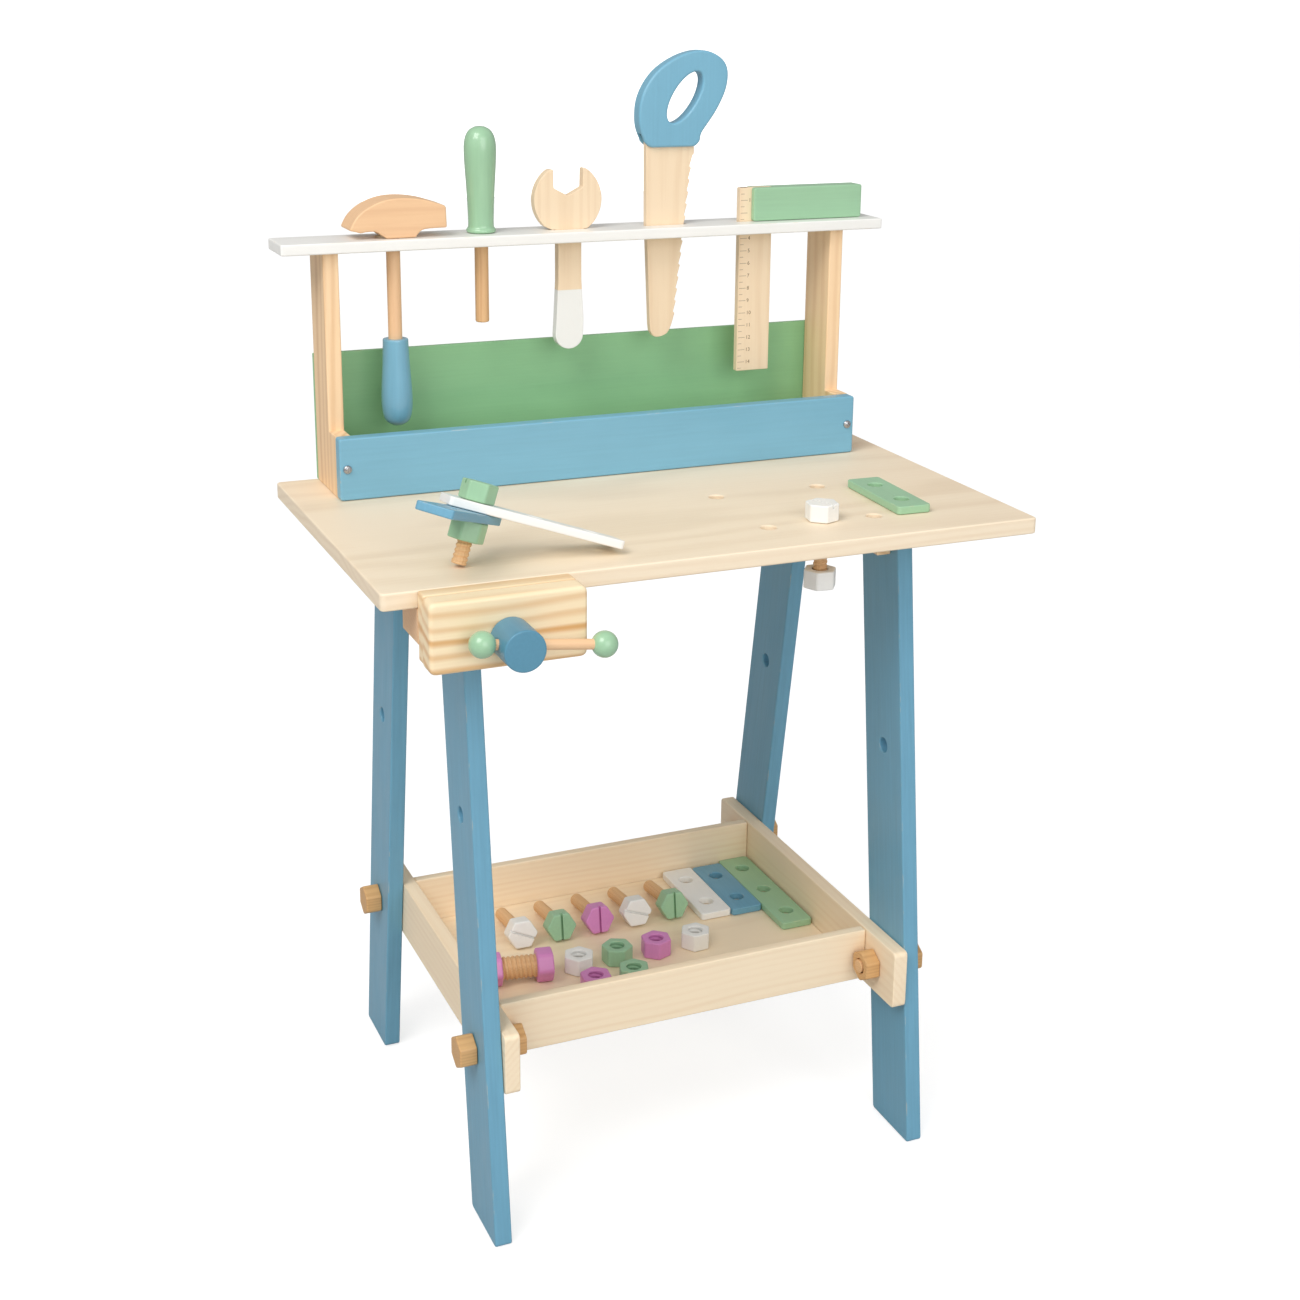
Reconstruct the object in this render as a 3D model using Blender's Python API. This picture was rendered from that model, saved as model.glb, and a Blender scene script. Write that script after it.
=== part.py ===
"""Wooden toy workbench: trestle legs, pale wooden top, tool rack, front vise, bolt tray and play tools.

Lengths are metres, +Z is up and the front of the bench faces -Y.
The origin is the centre of the whole object's footprint, on the floor.
"""
import bpy
import math
from mathutils import Matrix, Vector

# ---------------------------------------------------------------- driving dimensions
GAP = 0.0003                 # clearance between touching pieces

TOP_WIDTH = 0.490            # tabletop along X
TOP_DEPTH = 0.295            # tabletop along Y
TOP_THICK = 0.012
TOP_HEIGHT = 0.500           # height of the working surface
HALF_WIDTH = TOP_WIDTH / 2

LEG_THICK = 0.0128
LEG_HALF = 0.0274            # half the leg's width, measured along Y
LEG_INSET = 0.0696           # from the tabletop's side to the leg's outer face
FRONT_LEG_FOOT = 0.0276      # leg centre lines, measured from the tabletop's front edge
FRONT_LEG_TOP = 0.0863
BACK_LEG_FOOT = 0.3188
BACK_LEG_TOP = 0.2387
LEG_HOLE_HEIGHT = 0.310
LEG_HOLE_RADIUS = 0.0057

KNOB_REACH = 0.0600          # knob's face ahead of the tabletop's front edge
KNOB_RADIUS = 0.0140
VISE_X = 0.0755 - HALF_WIDTH
VISE_Z = 0.4720
JAW_WIDTH = 0.1060
JAW_BOTTOM = 0.4520
FIXED_JAW_THICK = 0.0120
MOVING_JAW_THICK = 0.0175
SPINDLE_RADIUS = 0.0070
ROD_RADIUS = 0.0040
ROD_SPREAD = 0.0340
BAR_RADIUS = 0.0035
BAR_TILT = math.radians(7.2)
BALL_RADIUS = 0.0088

SHELF_TOP = 0.6870
SHELF_THICK = 0.0082
SHELF_FRONT = 0.2433         # from the tabletop's front edge
SHELF_DEPTH = 0.0418
UPRIGHT_INSET = 0.0316
UPRIGHT_THICK = 0.0118
UPRIGHT_FRONT = 0.2508
PANEL_THICK = 0.0040
PANEL_TOP = 0.5980
BOARD_FRONT = 0.2218
BOARD_THICK = 0.0110
BOARD_TOP = 0.5470

TRAY_SIDE_THICK = 0.0115
TRAY_SIDE_LOW = 0.1135
TRAY_TOP = 0.1600
TRAY_SIDE_FRONT = 0.0125
TRAY_SIDE_BACK = 0.3260
TRAY_WALL_LOW = 0.1175
TRAY_WALL_THICK = 0.0080
TRAY_FRONT_Y = 0.0572
TRAY_BACK_Y = 0.2700
TRAY_FLOOR = 0.1220
TRAY_FLOOR_THICK = 0.0040
TRAY_BOLT_HEIGHT = 0.1370

HEX_FLATS = 0.0220           # across flats of every bolt head and nut
HEAD_HEIGHT = 0.0130
NUT_HEIGHT = 0.0140
TRAY_NUT_HEIGHT = 0.0120
SHANK_RADIUS = 0.0052
SHANK_LENGTH = 0.0430
SLOT_WIDTH = 0.0022
SLOT_DEPTH = 0.0030

STRIP_WIDTH = 0.0270
STRIP_THICK = 0.0060
STRIP_PITCH = 0.0420
HOLE_RADIUS = 0.00575        # peg holes in the tabletop and the strips

# ---------------------------------------------------------------- derived frame
FOOT_EASE = 0.0002           # what the eased edge takes off the back foot's reach
REAR_REACH = BACK_LEG_FOOT + LEG_HALF - FOOT_EASE
TABLE_FRONT = -(REAR_REACH - KNOB_REACH) / 2
TABLE_BACK = TABLE_FRONT + TOP_DEPTH
TOP_UNDER = TOP_HEIGHT - TOP_THICK
LEG_INNER = HALF_WIDTH - LEG_INSET - LEG_THICK
TOOL_Y = TABLE_FRONT + SHELF_FRONT + SHELF_DEPTH / 2
SHELF_REST = SHELF_TOP + GAP

COLOURS = {
    "pale_wood": ((0.86, 0.73, 0.55), 0.55),
    "pine": ((0.85, 0.66, 0.42), 0.50),
    "beech": ((0.74, 0.50, 0.32), 0.50),
    "blue_paint": ((0.20, 0.42, 0.56), 0.45),
    "green_paint": ((0.36, 0.64, 0.42), 0.45),
    "white_paint": ((0.88, 0.88, 0.87), 0.45),
    "pink_paint": ((0.78, 0.38, 0.62), 0.45),
    "steel": ((0.62, 0.62, 0.63), 0.30),
}


# ---------------------------------------------------------------- helpers
def clear_scene():
    """Remove every object that the start-up file holds."""
    for obj in list(bpy.data.objects):
        bpy.data.objects.remove(obj, do_unlink=True)


def material(name):
    """A Principled BSDF in one of the bench's finishes, made once and shared."""
    found = bpy.data.materials.get(name)
    if found:
        return found
    colour, roughness = COLOURS[name]
    made = bpy.data.materials.new(name)
    made.use_nodes = True
    shader = made.node_tree.nodes["Principled BSDF"]
    shader.inputs["Base Color"].default_value = (*colour, 1.0)
    shader.inputs["Roughness"].default_value = roughness
    shader.inputs["Metallic"].default_value = 1.0 if name == "steel" else 0.0
    made.diffuse_color = (*colour, 1.0)
    return made


def add_object(name, vertices, faces, finish, parent=None, location=(0, 0, 0)):
    """Make one mesh object from corner points and faces."""
    mesh = bpy.data.meshes.new(name)
    mesh.from_pydata([tuple(v) for v in vertices], [], faces)
    mesh.validate()
    mesh.update()
    if finish:
        mesh.materials.append(material(finish))
    obj = bpy.data.objects.new(name, mesh)
    bpy.context.scene.collection.objects.link(obj)
    obj.parent = parent
    obj.location = location
    return obj


def empty(name, location, parent=None):
    """A joint or placing axis that pieces hang from."""
    obj = bpy.data.objects.new(name, None)
    bpy.context.scene.collection.objects.link(obj)
    obj.empty_display_size = 0.02
    obj.parent = parent
    obj.location = location
    return obj


def prism(name, outline, low, high, plane, finish, parent=None, location=(0, 0, 0)):
    """Extrude a counter-clockwise outline from low to high along the plane's normal.

    plane "xy" stands along Z, "yz" along X and "zx" along Y, each a right-handed turn.
    """
    def place(a, b, c):
        if plane == "xy":
            return (a, b, c)
        if plane == "yz":
            return (c, a, b)
        return (b, c, a)
    count = len(outline)
    vertices = [place(a, b, low) for a, b in outline]
    vertices += [place(a, b, high) for a, b in outline]
    faces = [tuple(range(count - 1, -1, -1)), tuple(range(count, 2 * count))]
    for i in range(count):
        j = (i + 1) % count
        faces.append((i, j, count + j, count + i))
    return add_object(name, vertices, faces, finish, parent, location)


def board(name, low, high, finish, parent=None, ease=0.0010, segments=2):
    """A rectangular board between two corners, with eased edges."""
    outline = [(low[0], low[1]), (high[0], low[1]), (high[0], high[1]), (low[0], high[1])]
    obj = prism(name, outline, low[2], high[2], "xy", finish, parent)
    ease_edges(obj, ease, segments)
    return obj


def turned(name, profile, finish, parent=None, location=(0, 0, 0), sides=24):
    """Turn a profile of (height, radius) points about Z; a zero radius closes an end."""
    vertices, faces, rings = [], [], []
    for height, radius in profile:
        if radius == 0:
            rings.append([len(vertices)])
            vertices.append((0, 0, height))
            continue
        rings.append(list(range(len(vertices), len(vertices) + sides)))
        for i in range(sides):
            angle = 2 * math.pi * i / sides
            vertices.append((radius * math.cos(angle), radius * math.sin(angle), height))
    if len(rings[0]) > 1:
        faces.append(tuple(reversed(rings[0])))
    if len(rings[-1]) > 1:
        faces.append(tuple(rings[-1]))
    for lower, upper in zip(rings, rings[1:]):
        for i in range(sides):
            j = (i + 1) % sides
            if len(lower) == 1:
                faces.append((lower[0], upper[j], upper[i]))
            elif len(upper) == 1:
                faces.append((lower[i], lower[j], upper[0]))
            else:
                faces.append((lower[i], lower[j], upper[j], upper[i]))
    obj = add_object(name, vertices, faces, finish, parent, location)
    obj.data.shade_smooth()
    obj.data.set_sharp_from_angle(angle=math.radians(35))
    return obj


def ease_edges(obj, width, segments=2):
    """Round the sharp edges of a piece by a small radius."""
    bevel = obj.modifiers.new("eased edges", "BEVEL")
    bevel.width = width
    bevel.segments = segments
    bevel.limit_method = "ANGLE"
    bevel.angle_limit = math.radians(35)
    bevel.use_clamp_overlap = True


def as_cutter(obj):
    """Keep a guide solid out of the finished model."""
    obj.hide_render = True
    obj.display_type = "WIRE"
    return obj


def cut(obj, cutters, eased=True):
    """Take cutter solids away; eased cuts come before the edge rounding, sharp ones after it."""
    for number, cutter in enumerate(cutters):
        as_cutter(cutter)
        boolean = obj.modifiers.new("cut", "BOOLEAN")
        boolean.operation = "DIFFERENCE"
        boolean.solver = "EXACT"
        boolean.object = cutter
        if eased:
            obj.modifiers.move(len(obj.modifiers) - 1, number)


def aim(obj, direction):
    """Turn an object so that its own +Z points along a direction."""
    obj.rotation_mode = "QUATERNION"
    obj.rotation_quaternion = Vector(direction).to_track_quat("Z", "Y")


def drill(name, centre, direction, radius, length, parent=None, sides=24):
    """A round cutter centred on a point, along a direction."""
    tool = turned(name, [(-length / 2, radius), (length / 2, radius)], None, parent, centre, sides)
    aim(tool, direction)
    return tool


def hexagon(flats):
    """Corners of a hexagon with two flats facing the second axis."""
    corner = flats / math.sqrt(3)
    return [(corner * math.cos(math.radians(60 * k)), corner * math.sin(math.radians(60 * k)))
            for k in range(6)]


def arc(centre, radius, start, end, steps):
    """Points along a circular arc, angles in degrees."""
    points = []
    for k in range(steps + 1):
        angle = math.radians(start + (end - start) * k / steps)
        points.append((centre[0] + radius * math.cos(angle), centre[1] + radius * math.sin(angle)))
    return points


def rounded_rectangle(x0, y0, x1, y1, radius, steps=4):
    """A counter-clockwise rectangle with round corners."""
    points = arc((x1 - radius, y0 + radius), radius, -90, 0, steps)
    points += arc((x1 - radius, y1 - radius), radius, 0, 90, steps)
    points += arc((x0 + radius, y1 - radius), radius, 90, 180, steps)
    points += arc((x0 + radius, y0 + radius), radius, 180, 270, steps)
    return points


def smooth_through(points, steps):
    """A closed Catmull-Rom curve through points, sampled with equal steps per span."""
    curve = []
    count = len(points)
    for i in range(count):
        p0, p1, p2, p3 = (Vector(points[(i + k - 1) % count]) for k in range(4))
        for s in range(steps):
            t = s / steps
            curve.append(tuple(0.5 * (2 * p1 + (p2 - p0) * t + (2 * p0 - 5 * p1 + 4 * p2 - p3) * t * t
                                      + (3 * p1 - p0 - 3 * p2 + p3) * t ** 3)))
    return curve


def flipped(outline):
    """Swap an (x, z) outline to the (z, x) order that plane "zx" needs."""
    return [(z, x) for x, z in reversed(outline)]


# ---------------------------------------------------------------- hardware of the play set
def hex_head_bolt(name, finish, parent, length=SHANK_LENGTH, slotted=True):
    """A one-piece wooden bolt: shank end at the parent's origin, head at +Z."""
    profile = [(0.0, SHANK_RADIUS - 0.0010), (0.0010, SHANK_RADIUS), (length + 0.001, SHANK_RADIUS)]
    shank = turned(name + "_shank", profile, None, parent, (0, 0, 0), 16)
    as_cutter(shank)
    bolt = prism(name, hexagon(HEX_FLATS), length, length + HEAD_HEIGHT, "xy", finish, parent)
    if slotted:
        outline = [(-SLOT_WIDTH / 2, -HEX_FLATS), (SLOT_WIDTH / 2, -HEX_FLATS),
                   (SLOT_WIDTH / 2, HEX_FLATS), (-SLOT_WIDTH / 2, HEX_FLATS)]
        top = length + HEAD_HEIGHT
        slot = prism(name + "_slot", outline, top - SLOT_DEPTH, top + 0.002, "xy", None, parent)
        cut(bolt, [slot])
    join = bolt.modifiers.new("shank", "BOOLEAN")
    join.operation = "UNION"
    join.solver = "EXACT"
    join.object = shank
    return bolt


def hex_nut(name, finish, parent, low=0.0, height=NUT_HEIGHT):
    """A wooden nut standing on low along the parent's Z, with its hole on the axis."""
    nut = prism(name, hexagon(HEX_FLATS), low, low + height, "xy", finish, parent)
    ease_edges(nut, 0.0008, 1)
    bore = turned(name + "_bore", [(low - 0.01, HOLE_RADIUS), (low + height + 0.01, HOLE_RADIUS)],
                  None, parent, (0, 0, 0), 16)
    cut(nut, [bore])
    return nut


def strip(name, finish, holes, parent, first_hole=0.0):
    """A flat strip along the parent's X with its first hole at first_hole; its underside is at Z 0."""
    margin = STRIP_PITCH / 2
    low = first_hole - margin
    outline = rounded_rectangle(low, -STRIP_WIDTH / 2, low + holes * STRIP_PITCH, STRIP_WIDTH / 2,
                                0.003, 3)
    piece = prism(name, outline, 0.0, STRIP_THICK, "xy", finish, parent)
    ease_edges(piece, 0.0007, 1)
    cutters = []
    for k in range(holes):
        cutters.append(drill(f"{name}_hole_{k}", (first_hole + k * STRIP_PITCH, 0, STRIP_THICK / 2),
                             (0, 0, 1), HOLE_RADIUS, 0.03, parent, 20))
    cut(piece, cutters)
    return piece


# ---------------------------------------------------------------- frame of the bench
PEG_HOLES = [(0.296, 0.048), (0.381, 0.048), (0.381, 0.136), (0.296, 0.136), (0.3405, 0.052)]


def tabletop():
    """Pale wooden working surface with round corners and five peg holes."""
    outline = rounded_rectangle(-HALF_WIDTH, TABLE_FRONT, HALF_WIDTH, TABLE_BACK, 0.008, 5)
    top = prism("tabletop", outline, TOP_UNDER, TOP_HEIGHT, "xy", "pale_wood")
    ease_edges(top, 0.0012, 2)
    cutters = []
    for number, (across, depth) in enumerate(PEG_HOLES):
        centre = (across - HALF_WIDTH, TABLE_FRONT + depth, TOP_HEIGHT - TOP_THICK / 2)
        cutters.append(drill(f"peg_hole_{number}", centre, (0, 0, 1), HOLE_RADIUS, 0.04))
    cut(top, cutters)


def leg_centre(foot, head, height):
    """Y of a leg's centre line at a height."""
    return TABLE_FRONT + foot + (head - foot) * height / (TOP_UNDER - GAP)


def legs():
    """Four splayed legs, each drilled for its tray bolt and for a second tray height."""
    for side, sign in (("left", -1), ("right", 1)):
        for place, foot, head in (("front", FRONT_LEG_FOOT, FRONT_LEG_TOP),
                                  ("back", BACK_LEG_FOOT, BACK_LEG_TOP)):
            top = TOP_UNDER - GAP
            low_y = leg_centre(foot, head, 0)
            high_y = leg_centre(foot, head, top)
            outline = [(low_y - LEG_HALF, 0), (low_y + LEG_HALF, 0),
                       (high_y + LEG_HALF, top), (high_y - LEG_HALF, top)]
            inner = sign * LEG_INNER
            outer = sign * (LEG_INNER + LEG_THICK)
            leg = prism(f"leg_{place}_{side}", outline, min(inner, outer), max(inner, outer), "yz",
                        "blue_paint")
            ease_edges(leg, 0.0012, 2)
            middle = (inner + outer) / 2
            cutters = []
            for name, height, radius in (("upper", LEG_HOLE_HEIGHT, LEG_HOLE_RADIUS),
                                         ("bolt", TRAY_BOLT_HEIGHT, SHANK_RADIUS + GAP)):
                centre = (middle, leg_centre(foot, head, height), height)
                cutters.append(drill(f"leg_{name}_hole_{place}_{side}", centre, (1, 0, 0), radius,
                                     0.04, None, 20))
            cut(leg, cutters)


def leg_battens():
    """A rail under the tabletop on the inner side of each pair of legs."""
    for side, sign in (("left", -1), ("right", 1)):
        inner = sign * (LEG_INNER - 0.012 - GAP)
        outer = sign * (LEG_INNER - GAP)
        board(f"leg_batten_{side}",
              (min(inner, outer), TABLE_FRONT + 0.066, TOP_UNDER - 0.025),
              (max(inner, outer), TABLE_FRONT + 0.262, TOP_UNDER - GAP), "pine", None, 0.001, 1)


# ---------------------------------------------------------------- tool rack
def uprights():
    """Two side boards with a step at the bottom, which carry the shelf and the front board."""
    low = TOP_HEIGHT + GAP
    high = SHELF_TOP - SHELF_THICK - GAP
    back = TABLE_BACK - PANEL_THICK - GAP
    step_front = TABLE_FRONT + BOARD_FRONT + BOARD_THICK + GAP
    front = TABLE_FRONT + UPRIGHT_FRONT
    outline = [(step_front, low), (back, low), (back, high), (front, high), (front, BOARD_TOP),
               (step_front, BOARD_TOP)]
    for side, sign in (("left", -1), ("right", 1)):
        outer = sign * (HALF_WIDTH - UPRIGHT_INSET)
        inner = outer - sign * UPRIGHT_THICK
        post = prism(f"rack_upright_{side}", outline, min(inner, outer), max(inner, outer), "yz", "pine")
        ease_edges(post, 0.0010, 2)
        screw_y = TABLE_FRONT + BOARD_FRONT + BOARD_THICK + 0.006
        cut(post, [drill(f"upright_pilot_{side}", ((inner + outer) / 2, screw_y, SCREW_Z), (0, 1, 0),
                         0.0018, 0.020, None, 12)])


def rack_boards():
    """Thin back panel and the front board that make a trough behind the working surface."""
    half = HALF_WIDTH - UPRIGHT_INSET
    board("rack_back_panel", (-half, TABLE_BACK - PANEL_THICK, TOP_HEIGHT + GAP),
          (half, TABLE_BACK, PANEL_TOP), "green_paint", None, 0.0006, 1)
    front = board("rack_front_board", (-half, TABLE_FRONT + BOARD_FRONT, TOP_HEIGHT + GAP),
                  (half, TABLE_FRONT + BOARD_FRONT + BOARD_THICK, BOARD_TOP), "blue_paint")
    cutters = []
    for sign in (-1, 1):
        centre = (sign * SCREW_X, TABLE_FRONT + BOARD_FRONT + BOARD_THICK / 2, SCREW_Z)
        cutters.append(drill(f"front_board_pilot_{sign}", centre, (0, 1, 0), 0.0020, 0.04, None, 12))
    cut(front, cutters)


SCREW_X = HALF_WIDTH - UPRIGHT_INSET - UPRIGHT_THICK / 2
SCREW_Z = 0.5240


def rack_screws():
    """Round-head screws that hold the front board to the uprights."""
    for side, sign in (("left", -1), ("right", 1)):
        face = TABLE_FRONT + BOARD_FRONT
        profile = [(-0.016, 0.0), (-0.0155, 0.0008), (-0.013, 0.0015), (-GAP, 0.0015)]
        profile += [(0.0003, 0.0034), (0.0012, 0.0031), (0.0020, 0.0020), (0.0023, 0.0)]
        screw = turned(f"rack_screw_{side}", profile, "steel", None,
                       (sign * SCREW_X, face - GAP, SCREW_Z), 16)
        aim(screw, (0, -1, 0))


HAMMER_X, DRIVER_X, WRENCH_X, SAW_X, SQUARE_X = 0.0880, 0.1565, 0.2260, 0.3070, 0.3845
SAW_SLOT_RIGHT = 0.3246


def tool_shelf():
    """White shelf with a hole or slot for each hanging tool."""
    low = SHELF_TOP - SHELF_THICK
    outline = rounded_rectangle(-HALF_WIDTH, TABLE_FRONT + SHELF_FRONT, HALF_WIDTH,
                                TABLE_FRONT + SHELF_FRONT + SHELF_DEPTH, 0.003, 3)
    shelf = prism("tool_shelf", outline, low, SHELF_TOP, "xy", "white_paint")
    ease_edges(shelf, 0.0010, 2)
    middle = SHELF_TOP - SHELF_THICK / 2
    cutters = [drill("hammer_hole", (HAMMER_X - HALF_WIDTH, TOOL_Y, middle), (0, 0, 1), 0.0123, 0.03),
               drill("driver_hole", (DRIVER_X - HALF_WIDTH, TOOL_Y, middle), (0, 0, 1), 0.0060, 0.03)]
    slots = (("wrench_slot", 0.2133, 0.2399, 0.0046), ("saw_slot", 0.2891, SAW_SLOT_RIGHT, 0.0036),
             ("square_slot", 0.3692, 0.4000, 0.0036))
    for name, left, right, half in slots:
        box = [(left - HALF_WIDTH, TOOL_Y - half), (right - HALF_WIDTH, TOOL_Y - half),
               (right - HALF_WIDTH, TOOL_Y + half), (left - HALF_WIDTH, TOOL_Y + half)]
        cutters.append(prism(name, box, low - 0.01, SHELF_TOP + 0.01, "xy", None))
    cut(shelf, cutters)


# ---------------------------------------------------------------- tray
def tray():
    """Two side boards bolted between the legs, with two cross walls and a thin floor."""
    inner = LEG_INNER - GAP - TRAY_SIDE_THICK
    for side, sign in (("left", -1), ("right", 1)):
        near = sign * inner
        far = sign * (LEG_INNER - GAP)
        outline = rounded_rectangle(TABLE_FRONT + TRAY_SIDE_FRONT, TRAY_SIDE_LOW,
                                    TABLE_FRONT + TRAY_SIDE_BACK, TRAY_TOP, 0.004, 3)
        rail = prism(f"tray_side_{side}", outline, min(near, far), max(near, far), "yz", "pale_wood")
        ease_edges(rail, 0.0010, 2)
        cutters = []
        for foot, head in ((FRONT_LEG_FOOT, FRONT_LEG_TOP), (BACK_LEG_FOOT, BACK_LEG_TOP)):
            centre = ((near + far) / 2, leg_centre(foot, head, TRAY_BOLT_HEIGHT), TRAY_BOLT_HEIGHT)
            cutters.append(drill(f"side_hole_{side}_{foot}", centre, (1, 0, 0), SHANK_RADIUS + GAP,
                                 0.04, None, 20))
        cut(rail, cutters)
    half = inner - GAP
    front = TABLE_FRONT + TRAY_FRONT_Y
    back = TABLE_FRONT + TRAY_BACK_Y
    board("tray_front_wall", (-half, front, TRAY_WALL_LOW),
          (half, front + TRAY_WALL_THICK, TRAY_TOP - 0.0005), "pale_wood")
    board("tray_back_wall", (-half, back, TRAY_WALL_LOW),
          (half, back + TRAY_WALL_THICK, TRAY_TOP - 0.0005), "pale_wood")
    board("tray_floor", (-half, front + TRAY_WALL_THICK + GAP, TRAY_FLOOR - TRAY_FLOOR_THICK),
          (half, back - GAP, TRAY_FLOOR), "pale_wood", None, 0.0004, 1)


def tray_bolts():
    """Four unpainted bolts with nuts that hold the tray's sides to the legs."""
    clamped = LEG_THICK + TRAY_SIDE_THICK + 3 * GAP
    length = clamped + TRAY_NUT_HEIGHT + 0.0015
    for side, sign in (("left", -1), ("right", 1)):
        for place, foot, head in (("front", FRONT_LEG_FOOT, FRONT_LEG_TOP),
                                  ("back", BACK_LEG_FOOT, BACK_LEG_TOP)):
            y = leg_centre(foot, head, TRAY_BOLT_HEIGHT)
            outer = LEG_INNER + LEG_THICK + GAP
            axis = empty(f"tray_bolt_axis_{place}_{side}", (sign * (outer - length), y, TRAY_BOLT_HEIGHT))
            axis.rotation_euler = (0, sign * math.pi / 2, 0)
            hex_head_bolt(f"tray_bolt_{place}_{side}", "beech", axis, length, slotted=False)
            hex_nut(f"tray_nut_{place}_{side}", "beech", axis, 0.0015, TRAY_NUT_HEIGHT)


# ---------------------------------------------------------------- vise
def vise():
    """Front vise: nut block and fixed jaw on the bench, sliding jaw, spindle, knob and tommy bar."""
    left = VISE_X - JAW_WIDTH / 2
    right = VISE_X + JAW_WIDTH / 2
    jaw_y = TABLE_FRONT - GAP
    block = board("vise_block", (left + 0.0015, TABLE_FRONT + GAP, TOP_UNDER - 0.0250),
                  (right - 0.0015, TABLE_FRONT + 0.036, TOP_UNDER - GAP), "pine")
    fixed = board("vise_fixed_jaw", (left + 0.0015, jaw_y - FIXED_JAW_THICK, JAW_BOTTOM + 0.001),
                  (right - 0.0015, jaw_y, TOP_HEIGHT), "pine")
    slide = empty("vise_slide_axis", (VISE_X, jaw_y - FIXED_JAW_THICK - GAP, VISE_Z))
    moving = prism("vise_moving_jaw",
                   [(-JAW_WIDTH / 2, JAW_BOTTOM - VISE_Z), (JAW_WIDTH / 2, JAW_BOTTOM - VISE_Z),
                    (JAW_WIDTH / 2, TOP_HEIGHT - VISE_Z), (-JAW_WIDTH / 2, TOP_HEIGHT - VISE_Z)],
                   0, MOVING_JAW_THICK, "xy", "pine", slide)
    moving.rotation_euler = (math.pi / 2, 0, 0)
    ease_edges(moving, 0.0028, 2)
    jaw_front = MOVING_JAW_THICK
    tail = -(0.052 + FIXED_JAW_THICK + 2 * GAP)
    spindle_holes = []
    for owner, centre in (("block", TABLE_FRONT + 0.018), ("fixed", jaw_y - 0.006),
                          ("moving", jaw_y - 0.021)):
        spindle_holes.append(drill(f"spindle_hole_{owner}", (VISE_X, centre, VISE_Z), (0, 1, 0),
                                   SPINDLE_RADIUS + GAP, 0.05))
    rod_holes = []
    for number, sign in enumerate((-1, 1)):
        x = VISE_X + sign * ROD_SPREAD
        rod_holes.append(drill(f"rod_hole_{number}", (x, TABLE_FRONT + 0.015, VISE_Z), (0, 1, 0),
                               ROD_RADIUS + GAP, 0.075, None, 16))
        rod = turned(f"vise_guide_rod_{'left' if sign < 0 else 'right'}",
                     [(-0.060, ROD_RADIUS), (0.0100, ROD_RADIUS)], "beech", None,
                     (x, jaw_y - FIXED_JAW_THICK - GAP, VISE_Z), 16)
        aim(rod, (0, -1, 0))
        socket = drill(f"rod_socket_{number}", (x, jaw_y - FIXED_JAW_THICK - GAP, VISE_Z), (0, 1, 0),
                       ROD_RADIUS + GAP, 0.0206, None, 16)
        spindle_holes.append(socket)
    cut(block, [spindle_holes[0]] + rod_holes)
    cut(fixed, [spindle_holes[1]] + rod_holes)
    cut(moving, spindle_holes[2:], eased=False)
    turn = empty("vise_spin_axis", (VISE_X, jaw_y - FIXED_JAW_THICK - GAP, VISE_Z))
    turn.rotation_euler = (math.pi / 2, 0, 0)
    knob_length = KNOB_REACH - (FIXED_JAW_THICK + MOVING_JAW_THICK + 3 * GAP)
    knob_low = jaw_front + GAP
    turned("vise_spindle", [(tail, SPINDLE_RADIUS - 0.001), (tail + 0.001, SPINDLE_RADIUS),
                            (knob_low + 0.008, SPINDLE_RADIUS)], "beech", turn)
    edge = 0.0010
    profile = [(knob_low, KNOB_RADIUS - edge), (knob_low + edge, KNOB_RADIUS),
               (knob_low + knob_length - edge, KNOB_RADIUS),
               (knob_low + knob_length, KNOB_RADIUS - edge)]
    knob = turned("vise_knob", profile, "blue_paint", turn, (0, 0, 0), 32)
    bar_height = knob_low + knob_length / 2
    socket = turned("knob_socket", [(knob_low - 0.002, SPINDLE_RADIUS + GAP),
                                    (knob_low + 0.008 + GAP, SPINDLE_RADIUS + GAP)], None, turn)
    bar_dir = (math.cos(BAR_TILT), -math.sin(BAR_TILT), 0)
    cross = drill("knob_cross_hole", (0, 0, bar_height), bar_dir, BAR_RADIUS + GAP, 0.05, turn, 16)
    cut(knob, [socket, cross])
    bar = empty("vise_bar_axis", (0, 0, bar_height), turn)
    aim(bar, bar_dir)
    near, far = -0.0237, 0.0589
    turned("vise_bar", [(near - 0.004, BAR_RADIUS), (far + 0.004, BAR_RADIUS)], "beech", bar,
           (0, 0, 0), 16)
    for name, place, inward in (("left", near, 1), ("right", far, -1)):
        profile = [(place - BALL_RADIUS * math.cos(math.pi * k / 12),
                    BALL_RADIUS * math.sin(math.pi * k / 12) if 0 < k < 12 else 0) for k in range(13)]
        ball = turned(f"vise_ball_{name}", profile, "green_paint", bar, (0, 0, 0), 20)
        start = place - inward * (0.004 + GAP)
        end = place + inward * 0.012
        hole = turned(f"ball_hole_{name}", [(min(start, end), BAR_RADIUS + GAP),
                                            (max(start, end), BAR_RADIUS + GAP)], None, bar, (0, 0, 0), 16)
        cut(ball, [hole])


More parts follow.
